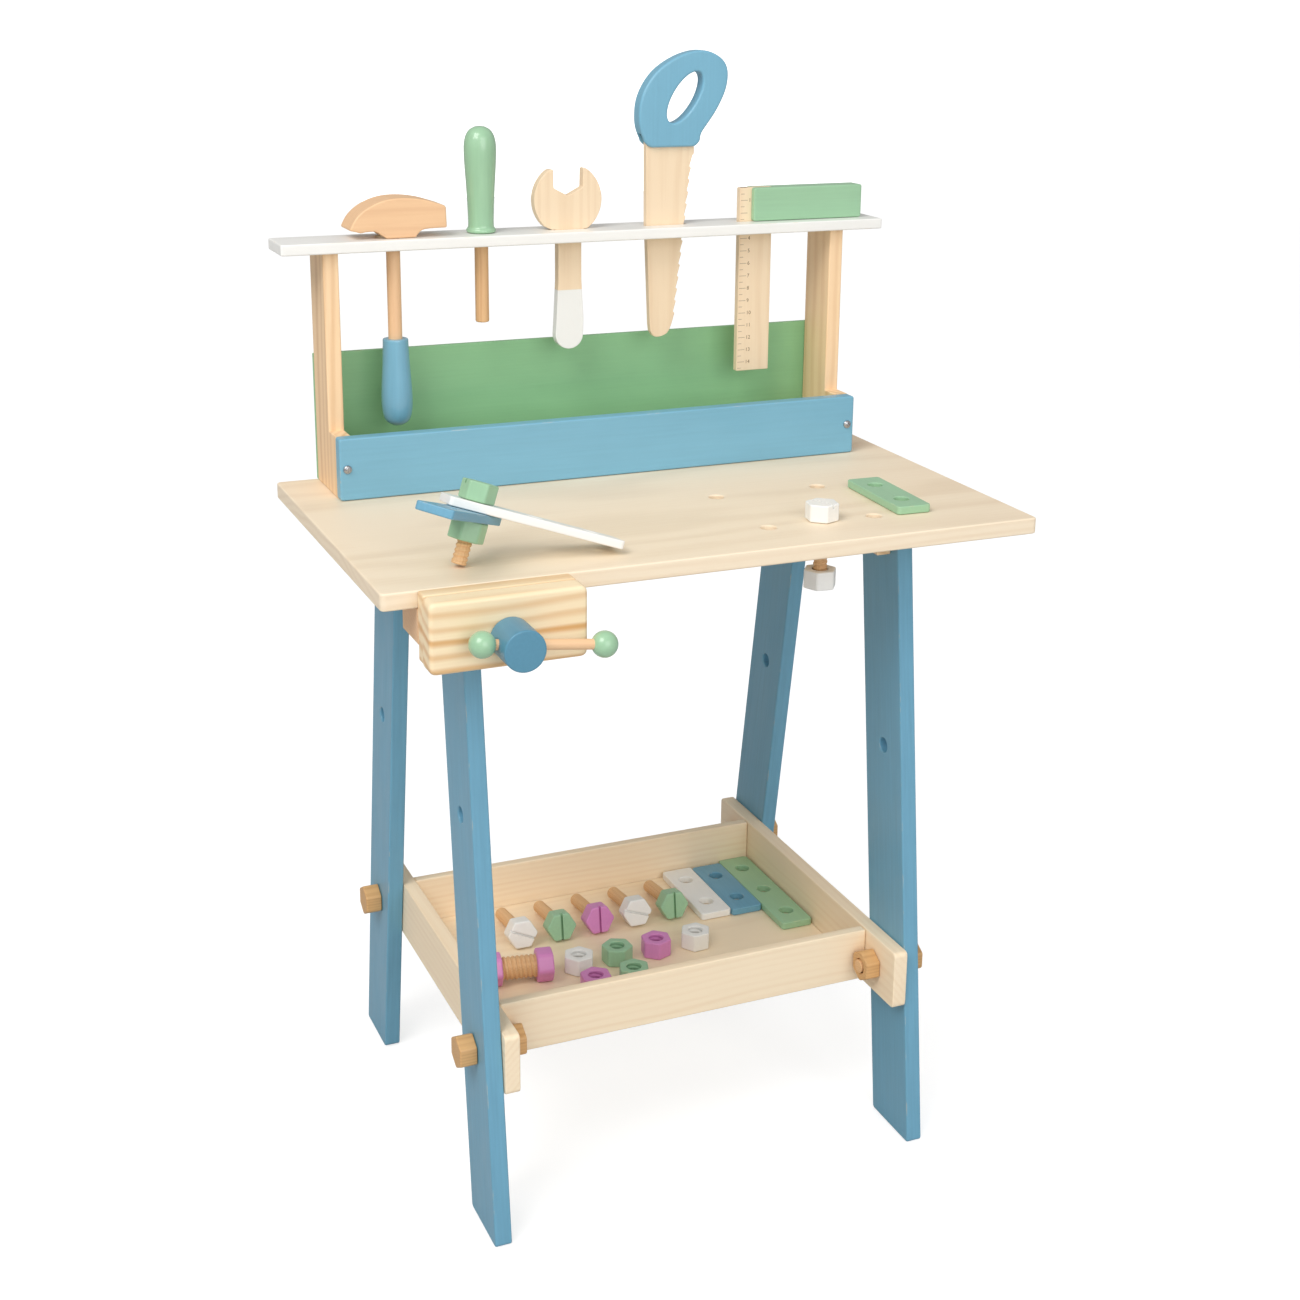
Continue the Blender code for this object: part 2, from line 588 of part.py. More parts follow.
# ---------------------------------------------------------------- tools on the shelf
def hammer():
    """Arched beech head, dowel shaft through the shelf and a turned blue grip."""
    axis = empty("hammer_axis", (HAMMER_X - HALF_WIDTH, TOOL_Y, SHELF_REST))
    outline = [(-0.0085, 0.0), (0.0147, 0.0)]
    outline += [(0.0170, 0.0030), (0.0195, 0.0051), (0.0230, 0.0062), (0.0310, 0.0066), (0.0393, 0.0067)]
    outline += [(0.0402, 0.0076), (0.0397, 0.0225), (0.0386, 0.0240)]
    outline += [(0.0250, 0.0283), (0.0120, 0.0305), (0.0000, 0.0308), (-0.0105, 0.0293),
                (-0.0200, 0.0258), (-0.0275, 0.0213), (-0.0335, 0.0153), (-0.0375, 0.0083)]
    outline += [(-0.0370, 0.0069), (-0.0330, 0.0060), (-0.0290, 0.0049), (-0.0255, 0.0055),
                (-0.0200, 0.0058), (-0.0165, 0.0052), (-0.0125, 0.0026)]
    head = prism("hammer_head", flipped(outline), -0.0140, 0.0140, "zx", "beech", axis)
    ease_edges(head, 0.0010, 2)
    socket = drill("hammer_socket", (0, 0, 0.0), (0, 0, 1), SHANK_RADIUS + GAP, 0.0300, axis)
    cut(head, [socket], eased=False)
    turned("hammer_shaft", [(-0.0900, SHANK_RADIUS), (0.0147, SHANK_RADIUS)], "beech", axis)
    profile = [(-0.1432, 0.0), (-0.1424, 0.0045), (-0.1400, 0.0080), (-0.1360, 0.0103),
               (-0.1300, 0.0114), (-0.1230, 0.0117), (-0.1130, 0.0114), (-0.0960, 0.0103),
               (-0.0830, 0.0097), (-0.0775, 0.0095), (-0.0765, 0.0085)]
    grip = turned("hammer_grip", profile, "blue_paint", axis)
    bore = drill("hammer_grip_bore", (0, 0, -0.0765), (0, 0, 1), SHANK_RADIUS + GAP, 0.0276, axis)
    cut(grip, [bore])


def screwdriver():
    """Turned green handle resting on its collar, and a dowel blade through the shelf."""
    axis = empty("screwdriver_axis", (DRIVER_X - HALF_WIDTH, TOOL_Y, SHELF_REST))
    profile = [(0.0, 0.0105), (0.0012, 0.0112), (0.0028, 0.0108), (0.0040, 0.0098), (0.0070, 0.0096),
               (0.0180, 0.0099), (0.0340, 0.0107), (0.0480, 0.0116), (0.0600, 0.0121),
               (0.0670, 0.0117), (0.0725, 0.0101), (0.0760, 0.0074), (0.0780, 0.0038), (0.0785, 0.0)]
    handle = turned("screwdriver_handle", profile, "green_paint", axis)
    bore = drill("screwdriver_bore", (0, 0, 0.0), (0, 0, 1), SHANK_RADIUS + GAP, 0.0306, axis)
    cut(handle, [bore])
    profile = [(-0.0680, 0.0), (-0.0676, SHANK_RADIUS - 0.0012), (-0.0660, SHANK_RADIUS),
               (0.0150, SHANK_RADIUS)]
    turned("screwdriver_shaft", profile, "beech", axis)


def wrench():
    """Open-ended flat wooden wrench, its handle hanging through the shelf."""
    axis = empty("wrench_axis", (WRENCH_X - HALF_WIDTH, TOOL_Y, SHELF_REST))
    centre = (-0.0010, 0.0222)
    radius = 0.0274
    outline = [(-0.0106, -0.0820)] + arc((-0.0002, -0.0815), 0.0114, 180, 360, 8)[1:]
    outline += [(0.0116, -0.0700), (0.0098, -0.0400), (0.0098, -0.0100), (0.0115, -0.0090)]
    outline += [(0.0115, -GAP), (0.0144, -GAP)]
    outline += arc(centre, radius, -46, 61, 10)
    outline += [(0.0112, 0.0455), (0.0109, 0.0312), (-0.0010, 0.0250), (-0.0127, 0.0312),
                (-0.0129, 0.0452), (-0.0160, 0.0456)]
    outline += arc(centre, radius, 123, 226, 10)
    outline += [(-0.0140, -GAP), (-0.0113, -GAP), (-0.0113, -0.0090), (-0.0092, -0.0100),
                (-0.0092, -0.0400), (-0.0108, -0.0700)]
    piece = prism("wrench", flipped(outline), -0.0040, 0.0040, "zx", "pale_wood", axis)
    ease_edges(piece, 0.0008, 1)


def saw():
    """Flat wooden blade with a toothed edge, tapering through its slot, under a slanted ring handle."""
    axis = empty("saw_axis", (SAW_X - HALF_WIDTH, TOOL_Y, SHELF_REST))
    heel, toe = 0.0592, -0.0790
    teeth = 14
    outline = [(-0.0174, heel), (-0.0168, 0.0), (-0.0162, -0.0110), (-0.0132, -0.0780),
               (-0.0110, -0.0868), (-0.0050, -0.0884), (0.0010, -0.0865)]
    pitch = (heel - 0.0060 - toe) / teeth
    for k in range(teeth):
        z = toe + k * pitch
        width = 0.0072 + (0.0225 - 0.0072) * (z - toe) / (heel - toe)
        outline += [(width - 0.0016, z + 0.0004), (width + 0.0009, z + pitch - 0.0004)]
    outline += [(0.0229, heel - 0.0055), (0.0229, heel)]
    outline += [(0.0200, heel + 0.0105), (-0.0174, heel + 0.0105)]
    blade = prism("saw_blade", flipped(outline), -0.0030, 0.0030, "zx", "pale_wood", axis)
    ease_edges(blade, 0.0005, 1)
    ring = [(-0.0150, 0.0595), (0.0226, 0.0595), (0.0280, 0.0700), (0.0398, 0.0860),
            (0.0482, 0.1030), (0.0492, 0.1180), (0.0420, 0.1275), (0.0270, 0.1322), (0.0080, 0.1280),
            (-0.0110, 0.1160), (-0.0226, 0.0980), (-0.0246, 0.0790), (-0.0205, 0.0660)]
    curve = [ring[0], ring[1]] + smooth_through(ring, 4)[6:50]
    handle = prism("saw_handle", flipped(curve), -0.0062, 0.0062, "zx", "blue_paint", axis)
    ease_edges(handle, 0.0016, 2)
    turned_oval = []
    for k in range(24):
        angle = 2 * math.pi * k / 24
        along, across = 0.0222 * math.cos(angle), 0.0098 * math.sin(angle)
        lean = math.radians(56)
        turned_oval.append((0.0136 + along * math.cos(lean) - across * math.sin(lean),
                            0.0970 + along * math.sin(lean) + across * math.cos(lean)))
    finger_hole = prism("saw_finger_hole", flipped(turned_oval), -0.02, 0.02, "zx", None, axis)
    slot = [(-0.0350, heel - 0.002), (0.0350, heel - 0.002), (0.0350, heel + 0.0108),
            (-0.0350, heel + 0.0108)]
    kerf = prism("saw_handle_slot", flipped(slot), -0.0033, 0.0033, "zx", None, axis)
    cut(handle, [finger_hole])
    cut(handle, [kerf], eased=False)


def try_square():
    """Green stock lying on the shelf with a thin ruler let into its end."""
    axis = empty("square_axis", (SQUARE_X - HALF_WIDTH, TOOL_Y, SHELF_REST))
    stock = board("square_stock", (-0.0040, -0.0080, 0.0), (0.0925, 0.0080, 0.0262), "green_paint", axis)
    ruler = board("square_ruler", (-0.0141, -0.0030, -0.1210), (0.0144, 0.0030, 0.0262), "pale_wood", axis,
                  0.0005, 1)
    kerf = prism("square_kerf", [(-0.0300, -0.0033), (0.0147, -0.0033), (0.0147, 0.0033),
                                 (-0.0300, 0.0033)], -0.01, 0.04, "xy", None, axis)
    cut(stock, [kerf], eased=False)
    return ruler


# ---------------------------------------------------------------- things lying on the table
def table_bolt():
    """White bolt through a peg hole, with its nut under the tabletop."""
    x, depth = PEG_HOLES[4]
    axis = empty("table_bolt_axis", (x - HALF_WIDTH, TABLE_FRONT + depth,
                                     TOP_HEIGHT + GAP - SHANK_LENGTH))
    axis.rotation_euler = (0, 0, math.radians(20))
    hex_head_bolt("table_bolt", "white_paint", axis)
    below = empty("table_nut_axis", (x - HALF_WIDTH, TABLE_FRONT + depth, 0.4495))
    below.rotation_euler = (0, 0, math.radians(12))
    hex_nut("table_nut", "white_paint", below)


def table_strip():
    """Green strip lying flat near the tabletop's right side."""
    axis = empty("table_strip_axis", (0.4118 - HALF_WIDTH, TABLE_FRONT + 0.0620, TOP_HEIGHT + GAP))
    axis.rotation_euler = (0, 0, math.radians(87.8))
    strip("table_strip", "green_paint", 2, axis)


def demo_assembly():
    """Green bolt and nut clamping a white and a blue strip, standing on its shank and a strip end."""
    lean = math.radians(20.6)
    towards = math.radians(19.3)
    axis_dir = Vector((math.sin(lean) * math.cos(towards), math.sin(lean) * math.sin(towards),
                       math.cos(lean)))
    tip = Vector((0.0634 - HALF_WIDTH, TABLE_FRONT + 0.0378,
                  TOP_HEIGHT + GAP + SHANK_RADIUS * math.sin(lean)))
    axis = empty("demo_axis", tip)
    flat = axis_dir.to_track_quat("Z", "Y")
    axis.rotation_mode = "QUATERNION"
    axis.rotation_quaternion = flat
    hex_head_bolt("demo_bolt", "green_paint", axis, SHANK_LENGTH)
    stack = SHANK_LENGTH - GAP
    inverse = flat.to_matrix().inverted()
    for name, finish, holes, way in (("demo_white_strip", "white_paint", 3, (0.94, -0.07, -0.32)),
                                     ("demo_blue_strip", "blue_paint", 2, (-0.63, -0.72, 0.30))):
        stack -= STRIP_THICK
        local = inverse @ Vector(way)
        holder = empty(name + "_axis", (0, 0, stack), axis)
        holder.rotation_euler = (0, 0, math.atan2(local.y, local.x))
        strip(name, finish, holes, holder)
        stack -= GAP
    hex_nut("demo_nut", "green_paint", axis, stack - NUT_HEIGHT)


def tray_contents():
    """Strips, bolts and a nut lying in the tray."""
    rest = TRAY_FLOOR + GAP
    front = TABLE_FRONT
    for name, finish, holes, x, y in (("tray_strip_white", "white_paint", 2, 0.3260, 0.2040),
                                      ("tray_strip_blue", "blue_paint", 2, 0.3533, 0.2020),
                                      ("tray_strip_green", "green_paint", 3, 0.3806, 0.1640)):
        axis = empty(name + "_axis", (x - HALF_WIDTH, front + y, rest))
        axis.rotation_euler = (0, 0, math.pi / 2)
        strip(name, finish, holes, axis)
    droop = math.asin((HEX_FLATS / 2 - SHANK_RADIUS) / SHANK_LENGTH)
    for name, finish, x, turn in (("tray_loose_bolt_green", "green_paint", 0.1932, 0),
                                  ("tray_loose_bolt_pink", "pink_paint", 0.2262, 0)):
        lift = rest + SHANK_RADIUS * math.cos(droop)
        axis = empty(name + "_axis", (x - HALF_WIDTH, front + 0.1935
                                      + (SHANK_LENGTH + HEAD_HEIGHT) * math.cos(droop), lift))
        axis.rotation_euler = (math.pi / 2 - droop, 0, 0)
        hex_head_bolt(name, finish, axis)
    axis = empty("tray_loose_nut_axis", (0.2560 - HALF_WIDTH, front + 0.1478, rest))
    axis.rotation_euler = (0, 0, math.radians(20))
    hex_nut("tray_loose_nut_pink", "pink_paint", axis)


def build():
    """Make the whole bench."""
    clear_scene()
    tabletop()
    legs()
    leg_battens()
    uprights()
    rack_boards()
    rack_screws()
    tool_shelf()
    tray()
    tray_bolts()
    vise()
    hammer()
    screwdriver()
    wrench()
    saw()
    try_square()
    table_bolt()
    table_strip()
    demo_assembly()
    tray_contents()
    bpy.context.view_layer.update()


build()
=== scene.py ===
# %% [markdown]
# # A toy workbench, piece by piece
# This lesson dresses a wooden toy workbench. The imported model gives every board, bolt and tool its
# place and its body; here each one gets its finished shape and surface. The real bench is made of flat
# boards with eased edges, turned dowels and handles, and wooden bolts, so three ways of making a
# surface are enough: a board is an outline carried round an eased edge, a handle is a profile turned
# about an axis, and a thread is a turned profile with a helix taken off its radius.

# %% Load the frame
import math
import bpy
import numpy as np
from mathutils import Matrix, Vector
from mathutils.geometry import delaunay_2d_cdt


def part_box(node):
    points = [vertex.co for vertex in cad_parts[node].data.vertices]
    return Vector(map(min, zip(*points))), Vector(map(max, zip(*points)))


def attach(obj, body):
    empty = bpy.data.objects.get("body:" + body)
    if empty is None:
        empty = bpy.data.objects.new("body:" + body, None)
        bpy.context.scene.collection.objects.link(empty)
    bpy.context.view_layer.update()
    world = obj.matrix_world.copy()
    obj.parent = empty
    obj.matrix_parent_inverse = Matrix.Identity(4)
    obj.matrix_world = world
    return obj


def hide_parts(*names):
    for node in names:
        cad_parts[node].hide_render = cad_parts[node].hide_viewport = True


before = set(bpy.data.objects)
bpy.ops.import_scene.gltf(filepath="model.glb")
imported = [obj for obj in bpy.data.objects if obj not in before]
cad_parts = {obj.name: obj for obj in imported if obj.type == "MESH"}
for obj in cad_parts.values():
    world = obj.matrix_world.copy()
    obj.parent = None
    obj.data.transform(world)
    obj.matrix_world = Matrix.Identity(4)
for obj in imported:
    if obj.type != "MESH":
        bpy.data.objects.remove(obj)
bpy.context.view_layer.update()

# %% [markdown]
# ## Sizes that every piece shares
# A board's corners come from its node's box. Slanted legs, tilted strips and holes have no box of their
# own, so their few sizes stand here, in metres, in the bench's own terms.

# %% Sizes
X_AXIS, Y_AXIS, Z_AXIS = np.eye(3)
EASE = 0.0011                      # usual rounding of a sanded edge
GAP = 0.0003                       # clearance between touching pieces


def node_box(node):
    """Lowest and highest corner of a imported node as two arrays."""
    low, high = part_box(node)
    return np.array(low), np.array(high)


TABLE_LOW, TABLE_HIGH = node_box("tabletop")
HALF_WIDTH = TABLE_HIGH[0]
TABLE_FRONT = TABLE_LOW[1]
TABLE_TOP = TABLE_HIGH[2]
SHELF_LOW, SHELF_HIGH = node_box("tool_shelf")
SHELF_TOP = SHELF_HIGH[2]
TOOL_Y = (SHELF_LOW[1] + SHELF_HIGH[1]) / 2
TRAY_FLOOR = node_box("tray_floor")[1][2]
HEX_FLATS = 0.0220                 # bolt heads and nuts, across their flats
SHANK_RADIUS = 0.0052              # play bolts, tray bolts and the tools' shafts
SHANK_LENGTH = 0.0430
HEAD_HEIGHT = 0.0130
NUT_HEIGHT = 0.0140
HOLE_RADIUS = 0.00575              # peg holes, strip holes and nuts
THREAD_PITCH = 0.0034
STRIP_WIDTH, STRIP_THICK, STRIP_PITCH = 0.0270, 0.0060, 0.0420
print("tabletop", np.round(TABLE_HIGH - TABLE_LOW, 4), "shelf top", round(float(SHELF_TOP), 4))

# %% [markdown]
# ## Placing a piece
# Each piece is drawn in its own right-handed axes: along it, across it, and through its thickness. A
# placing frame carries those points to the bench, so that the finished object stays at the origin,
# unturned. The same local point is kept on the mesh as the attribute *grain*, which makes the wood
# follow a slanted leg or a tilted strip as it does on the real one.


# %% Placing frames
def unit(vector):
    """v / |v|."""
    vector = np.asarray(vector, float)
    return vector / np.linalg.norm(vector)


def placing(origin, along, across):
    """Origin and three unit axes a, b, c with a = along, c = a x across, b = c x a."""
    first = unit(along)
    third = unit(np.cross(first, across))
    return np.asarray(origin, float), np.array([first, np.cross(third, first), third])


def carry(points, place):
    """World point = origin + x a + y b + z c."""
    origin, axes = place
    return origin + np.asarray(points) @ axes


def bring_back(points, place):
    """Local point = ((p - origin).a, (p - origin).b, (p - origin).c)."""
    origin, axes = place
    return (np.asarray(points) - origin) @ axes.T


FLAT = placing((0, 0, 0), X_AXIS, Y_AXIS)          # thickness along +Z
FACING = placing((0, 0, 0), X_AXIS, Z_AXIS)        # thickness along -Y
SIDEWAYS = placing((0, 0, 0), Y_AXIS, Z_AXIS)      # thickness along +X
print("placing frames ready")

# %% [markdown]
# ## Outlines
# A board's outline is a closed row of points. Corners are rounded with a short quadratic curve, since
# the real corners are sanded by hand and not exact arcs. Curved outlines, such as a saw's handle, are
# drawn through a few points with a smooth spline.


# %% Outline helpers
def round_corners(polygon, radius, steps=4):
    """Each corner p becomes (1-t)^2 p0 + 2t(1-t) p + t^2 p2, with p0 and p2 at radius along its sides."""
    corner = np.asarray(polygon, float)
    before = np.roll(corner, 1, 0) - corner
    after = np.roll(corner, -1, 0) - corner
    reach_before = np.minimum(radius, np.linalg.norm(before, axis=1) * 0.45)[:, None]
    reach_after = np.minimum(radius, np.linalg.norm(after, axis=1) * 0.45)[:, None]
    start = corner + before / np.linalg.norm(before, axis=1)[:, None] * reach_before
    end = corner + after / np.linalg.norm(after, axis=1)[:, None] * reach_after
    t = np.linspace(0, 1, steps + 1)[None, :, None]
    curve = (1 - t) ** 2 * start[:, None] + 2 * t * (1 - t) * corner[:, None] + t ** 2 * end[:, None]
    return curve.reshape(-1, 2)


def rectangle(low, high):
    """Four corners, counter-clockwise."""
    return np.array([(low[0], low[1]), (high[0], low[1]), (high[0], high[1]), (low[0], high[1])])


def circle(centre, radius, sides=32):
    """centre + radius (cos u, sin u)."""
    u = np.linspace(0, 2 * np.pi, sides, endpoint=False)
    return np.asarray(centre) + radius * np.stack([np.cos(u), np.sin(u)], 1)


def arc(centre, radius, start, end, steps):
    """centre + radius (cos u, sin u) with u from start to end degrees."""
    u = np.radians(np.linspace(start, end, steps + 1))
    return np.asarray(centre) + radius * np.stack([np.cos(u), np.sin(u)], 1)


def spline(points, steps=6, closed=False):
    """Catmull-Rom: 0.5 (2p1 + (p2-p0)t + (2p0-5p1+4p2-p3)t^2 + (3p1-p0-3p2+p3)t^3) in every span."""
    points = np.asarray(points, float)
    if closed:
        p0, p1, p2, p3 = (np.roll(points, 1 - k, 0) for k in range(4))
    else:
        padded = np.concatenate([2 * points[:1] - points[1:2], points, 2 * points[-1:] - points[-2:-1]])
        p0, p1, p2, p3 = padded[:-3], padded[1:-2], padded[2:-1], padded[3:]
    t = np.linspace(0, 1, steps, endpoint=False)[None, :, None]
    p0, p1, p2, p3 = (p[:, None] for p in (p0, p1, p2, p3))
    curve = 0.5 * (2 * p1 + (p2 - p0) * t + (2 * p0 - 5 * p1 + 4 * p2 - p3) * t ** 2
                   + (3 * p1 - p0 - 3 * p2 + p3) * t ** 3)
    curve = curve.reshape(-1, points.shape[1])
    return curve if closed else np.concatenate([curve, points[-1:]])


def hexagon(flats, turn=0.0, corner=0.0016):
    """Six corners at radius flats / sqrt 3, eased; at turn 0 two flats face the second axis."""
    u = np.radians(np.arange(6) * 60.0 + turn)
    return round_corners(flats / math.sqrt(3) * np.stack([np.cos(u), np.sin(u)], 1), corner)


print("a rounded hexagon has", len(hexagon(HEX_FLATS)), "points")

# %% [markdown]
# ## A board: an outline carried round an eased edge
# The real boards are sawn, drilled and then sanded, which leaves a quarter-round of about a millimetre
# on every edge and hole. Bevelling a box would do for a plain board but fails at close holes. Here the
# outline and each hole are offset inwards while the height climbs the quarter-round, and the two flat
# faces are filled between the innermost loops, so one function makes boards, strips, nuts and jaws.


# %% Boards
def turned_way(loop, sign):
    """The loop in counter-clockwise order for sign +1 and clockwise for -1, by its signed area."""
    x, y = np.asarray(loop, float).T
    area = np.sum(x * np.roll(y, -1) - y * np.roll(x, -1))
    return np.asarray(loop, float)[::int(np.sign(area) * sign)]


def outward(loop):
    """Mitred normals: (n0 + n1) / (1 + n0.n1), so that a whole side moves by the same distance."""
    edge = np.roll(loop, -1, 0) - loop
    normal = np.stack([edge[:, 1], -edge[:, 0]], 1) / np.linalg.norm(edge, axis=1)[:, None]
    previous = np.roll(normal, 1, 0)
    return (previous + normal) / (1 + np.sum(previous * normal, 1))[:, None]


def grid_faces(rows, columns, start=0):
    """Quads (i,j) (i,j+1) (i+1,j+1) (i+1,j) of a grid whose columns close on themselves."""
    i = np.arange(rows - 1)[:, None] * columns
    j = np.arange(columns)[None]
    k = (j + 1) % columns
    return (np.stack([i + j, i + k, i + k + columns, i + j + columns], -1).reshape(-1, 4) + start).tolist()


def fill(loops):
    """Triangles between an outer loop and its holes, as indices into the loops laid end to end.

    The holes are convex, so a triangle with all three corners on one hole lies in it and is left out.
    """
    sizes = [len(loop) for loop in loops]
    starts = np.concatenate([[0], np.cumsum(sizes)[:-1]])
    edges = [(int(s + i), int(s + (i + 1) % n)) for s, n in zip(starts, sizes) for i in range(n)]
    corners = [Vector(point) for point in np.concatenate(loops)]
    found = delaunay_2d_cdt(corners, edges, [], 1, 1e-9)
    if not all(found[3]):
        crossing = next(tuple(point) for point, origin in zip(found[0], found[3]) if not origin)
        raise ValueError(f"outline crosses itself near {crossing}")
    faces = np.array([[found[3][corner][0] for corner in face] for face in found[2]])
    owner = np.repeat(np.arange(len(loops)), sizes)[faces]
    in_a_hole = (owner.min(1) == owner.max(1)) & (owner[:, 0] > 0)
    return faces[~in_a_hole].tolist()


def plate(outline, low, high, ease=EASE, holes=(), steps=3, thread=None):
    """Wall ring k: loop - inset_k normal at height_k; inset = e(1 - sin t), height = low + e(1 - cos t).

    The upper edge mirrors the lower one. thread = (depth, pitch) winds a helix into the holes' walls,
    depth (0.5 + 0.5 cos(2 pi h / pitch - u)), with eight rings to a turn.
    Returns points, faces and form, where form is (wall, edge, 0): how far a point has turned down
    from the flat face, and how near it is to the middle of the eased edge.
    """
    t = np.linspace(0, np.pi / 2, steps + 1)
    inset = np.concatenate([ease * (1 - np.sin(t)), ease * (1 - np.sin(t[::-1]))])
    height = np.concatenate([low + ease * (1 - np.cos(t)), high - ease * (1 - np.cos(t[::-1]))])
    wall = np.concatenate([np.sin(t), np.sin(t[::-1])])
    edge = np.concatenate([np.sin(2 * t), np.sin(2 * t[::-1])])
    points, faces, form, lower_cap, upper_cap = [], [], [], [], []
    start = 0
    for number, loop in enumerate([turned_way(outline, 1)] + [turned_way(hole, -1) for hole in holes]):
        normal = outward(loop)
        rows, shift, rim, worn = height, np.tile(inset[:, None], len(loop)), wall, edge
        if thread and number:
            deep, pitch = thread
            turns = np.linspace(low + ease, high - ease, int((high - low) / pitch * 8) + 2)[1:-1]
            across, along = (loop - loop.mean(0)).T
            angle = np.arctan2(along, across)
            wave = 0.5 + 0.5 * np.cos(2 * np.pi * turns[:, None] / pitch - angle[None])
            middle = len(height) // 2
            rows = np.concatenate([height[:middle], turns, height[middle:]])
            shift = np.concatenate([shift[:middle], deep * wave, shift[middle:]])
            rim = np.concatenate([wall[:middle], np.ones(len(turns)), wall[middle:]])
            worn = np.concatenate([edge[:middle], np.zeros(len(turns)), edge[middle:]])
        ring = loop[None] - shift[..., None] * normal[None]
        count = len(loop)
        depth = np.broadcast_to(rows[:, None, None], (len(rows), count, 1))
        points.append(np.concatenate([ring, depth], -1).reshape(-1, 3))
        form.append(np.repeat(np.stack([rim, worn, 0 * rim], 1), count, 0))
        faces += grid_faces(len(rows), count, start)
        lower_cap.append((start, count, ring[0]))
        upper_cap.append((start + (len(rows) - 1) * count, count, ring[-1]))
        start += len(rows) * count
    for cap, forward in ((lower_cap, False), (upper_cap, True)):
        index = np.concatenate([np.arange(s, s + n) for s, n, _ in cap])
        flat = np.concatenate([loop for _, _, loop in cap])
        for face in fill([loop for _, _, loop in cap]):
            (ax, ay), (bx, by), (cx, cy) = flat[face[:3]]
            left = (bx - ax) * (cy - ay) - (by - ay) * (cx - ax) > 0
            faces.append([int(index[v]) for v in (face if left == forward else face[::-1])])
    return np.concatenate(points), faces, np.concatenate(form)


print("a bare board has", len(plate(rectangle((0, 0), (1, 1)), 0, 0.1)[1]), "faces")

# %% [markdown]
# ## Turned work
# Handles, balls, knobs and dowels come off a lathe, so they are a profile of height and radius turned
# about an axis. A thread is the same surface with a helix taken off the radius: the groove repeats once
# for each pitch of height and once for each turn of the angle.


# %% Turned pieces
def turned(profile, sides=48, groove=None):
    """Point (r cos u, r sin u, h) with r = profile radius - groove(h, u); a zero radius closes an end."""
    profile = np.asarray(profile, float)
    inner = profile[1:-1]
    u = np.linspace(0, 2 * np.pi, sides, endpoint=False)
    height = np.broadcast_to(inner[:, :1], (len(inner), sides))
    angle = np.broadcast_to(u[None], height.shape)
    radius = inner[:, 1:] - (groove(height, angle) if groove else 0.0)
    surface = np.stack([radius * np.cos(angle), radius * np.sin(angle), height], -1).reshape(-1, 3)
    points = np.concatenate([surface, [(0, 0, profile[0, 0]), (0, 0, profile[-1, 0])]])
    foot, head = len(surface), len(surface) + 1
    j = np.arange(sides)
    k = (j + 1) % sides
    last = len(surface) - sides
    faces = grid_faces(len(inner), sides)
    faces += np.stack([np.full(sides, foot), k, j], 1).tolist()
    faces += np.stack([last + j, last + k, np.full(sides, head)], 1).tolist()
    form = np.zeros((len(points), 3))
    form[:, 0] = 1.0
    return points, faces, form


def dowel_profile(low, high, radius, ease=0.0008, rows=2):
    """A straight dowel whose ends are eased with quarter-rounds, closed on the axis."""
    t = np.linspace(0, np.pi / 2, 4)
    foot = np.stack([low + ease * (1 - np.cos(t)), radius - ease * (1 - np.sin(t))], 1)
    head = np.stack([high - ease * (1 - np.cos(t[::-1])), radius - ease * (1 - np.sin(t[::-1]))], 1)
    middle = np.stack([np.linspace(low + ease, high - ease, rows + 2)[1:-1], np.full(rows, radius)], 1)
    return np.concatenate([[(low, 0)], foot, middle, head, [(high, 0)]])


def helix(depth, pitch, low, high, fade=0.0015):
    """Groove = depth (0.5 + 0.5 cos(2 pi h / pitch - u)) ** 1.5, faded out towards low and high."""
    def groove(height, angle):
        wave = (0.5 + 0.5 * np.cos(2 * np.pi * height / pitch - angle)) ** 1.5
        inside = np.clip((height - low) / fade, 0, 1) * np.clip((high - height) / fade, 0, 1)
        return depth * wave * inside
    return groove


def threaded_dowel(low, high, radius, depth=0.0007, pitch=THREAD_PITCH, plain_from=None):
    """A dowel with a right-hand thread from its foot up to plain_from, nine rings to a turn."""
    rows = int((high - low) / pitch * 9)
    stop = high if plain_from is None else plain_from
    return turned(dowel_profile(low, high, radius, rows=rows), 40,
                  helix(depth, pitch, low + 0.001, stop))


print("a threaded shank has", len(threaded_dowel(0, SHANK_LENGTH, SHANK_RADIUS)[1]), "faces")

# %% [markdown]
# ## Surfaces shared by many pieces
# Two effects come back all over the bench: the figure of the wood, and a thin coat of paint that lets
# the fibres show. Each is built once as a node group with named inputs, then placed in every material
# with its own colours. Wood is a tree trunk in the piece's own axes: rings of early and late growth
# about a pith that lies below the board, bent by slow noise, with fine fibres drawn out along the
# grain. On the ends of a board the same rings show as arcs, as end grain does. A flat wave pattern
# would look the same on every side, so it was not used.


# %% Node helpers
def srgb(red, green, blue):
    """Linear colour from 0-255 display values: ((c + 0.055) / 1.055) ** 2.4, or c / 12.92 when dark."""
    c = np.array([red, green, blue]) / 255.0
    return tuple(np.where(c <= 0.04045, c / 12.92, ((c + 0.055) / 1.055) ** 2.4)) + (1.0,)


def plug(tree, value, socket):
    """Link a socket to a socket, or set a plain value."""
    if isinstance(value, bpy.types.NodeSocket):
        tree.links.new(value, socket)
    else:
        socket.default_value = value


def reckon(tree, operation, first, second=0.0, clamp=False):
    """One Math node."""
    node = tree.nodes.new("ShaderNodeMath")
    node.operation, node.use_clamp = operation, clamp
    plug(tree, first, node.inputs[0])
    plug(tree, second, node.inputs[1])
    return node.outputs[0]


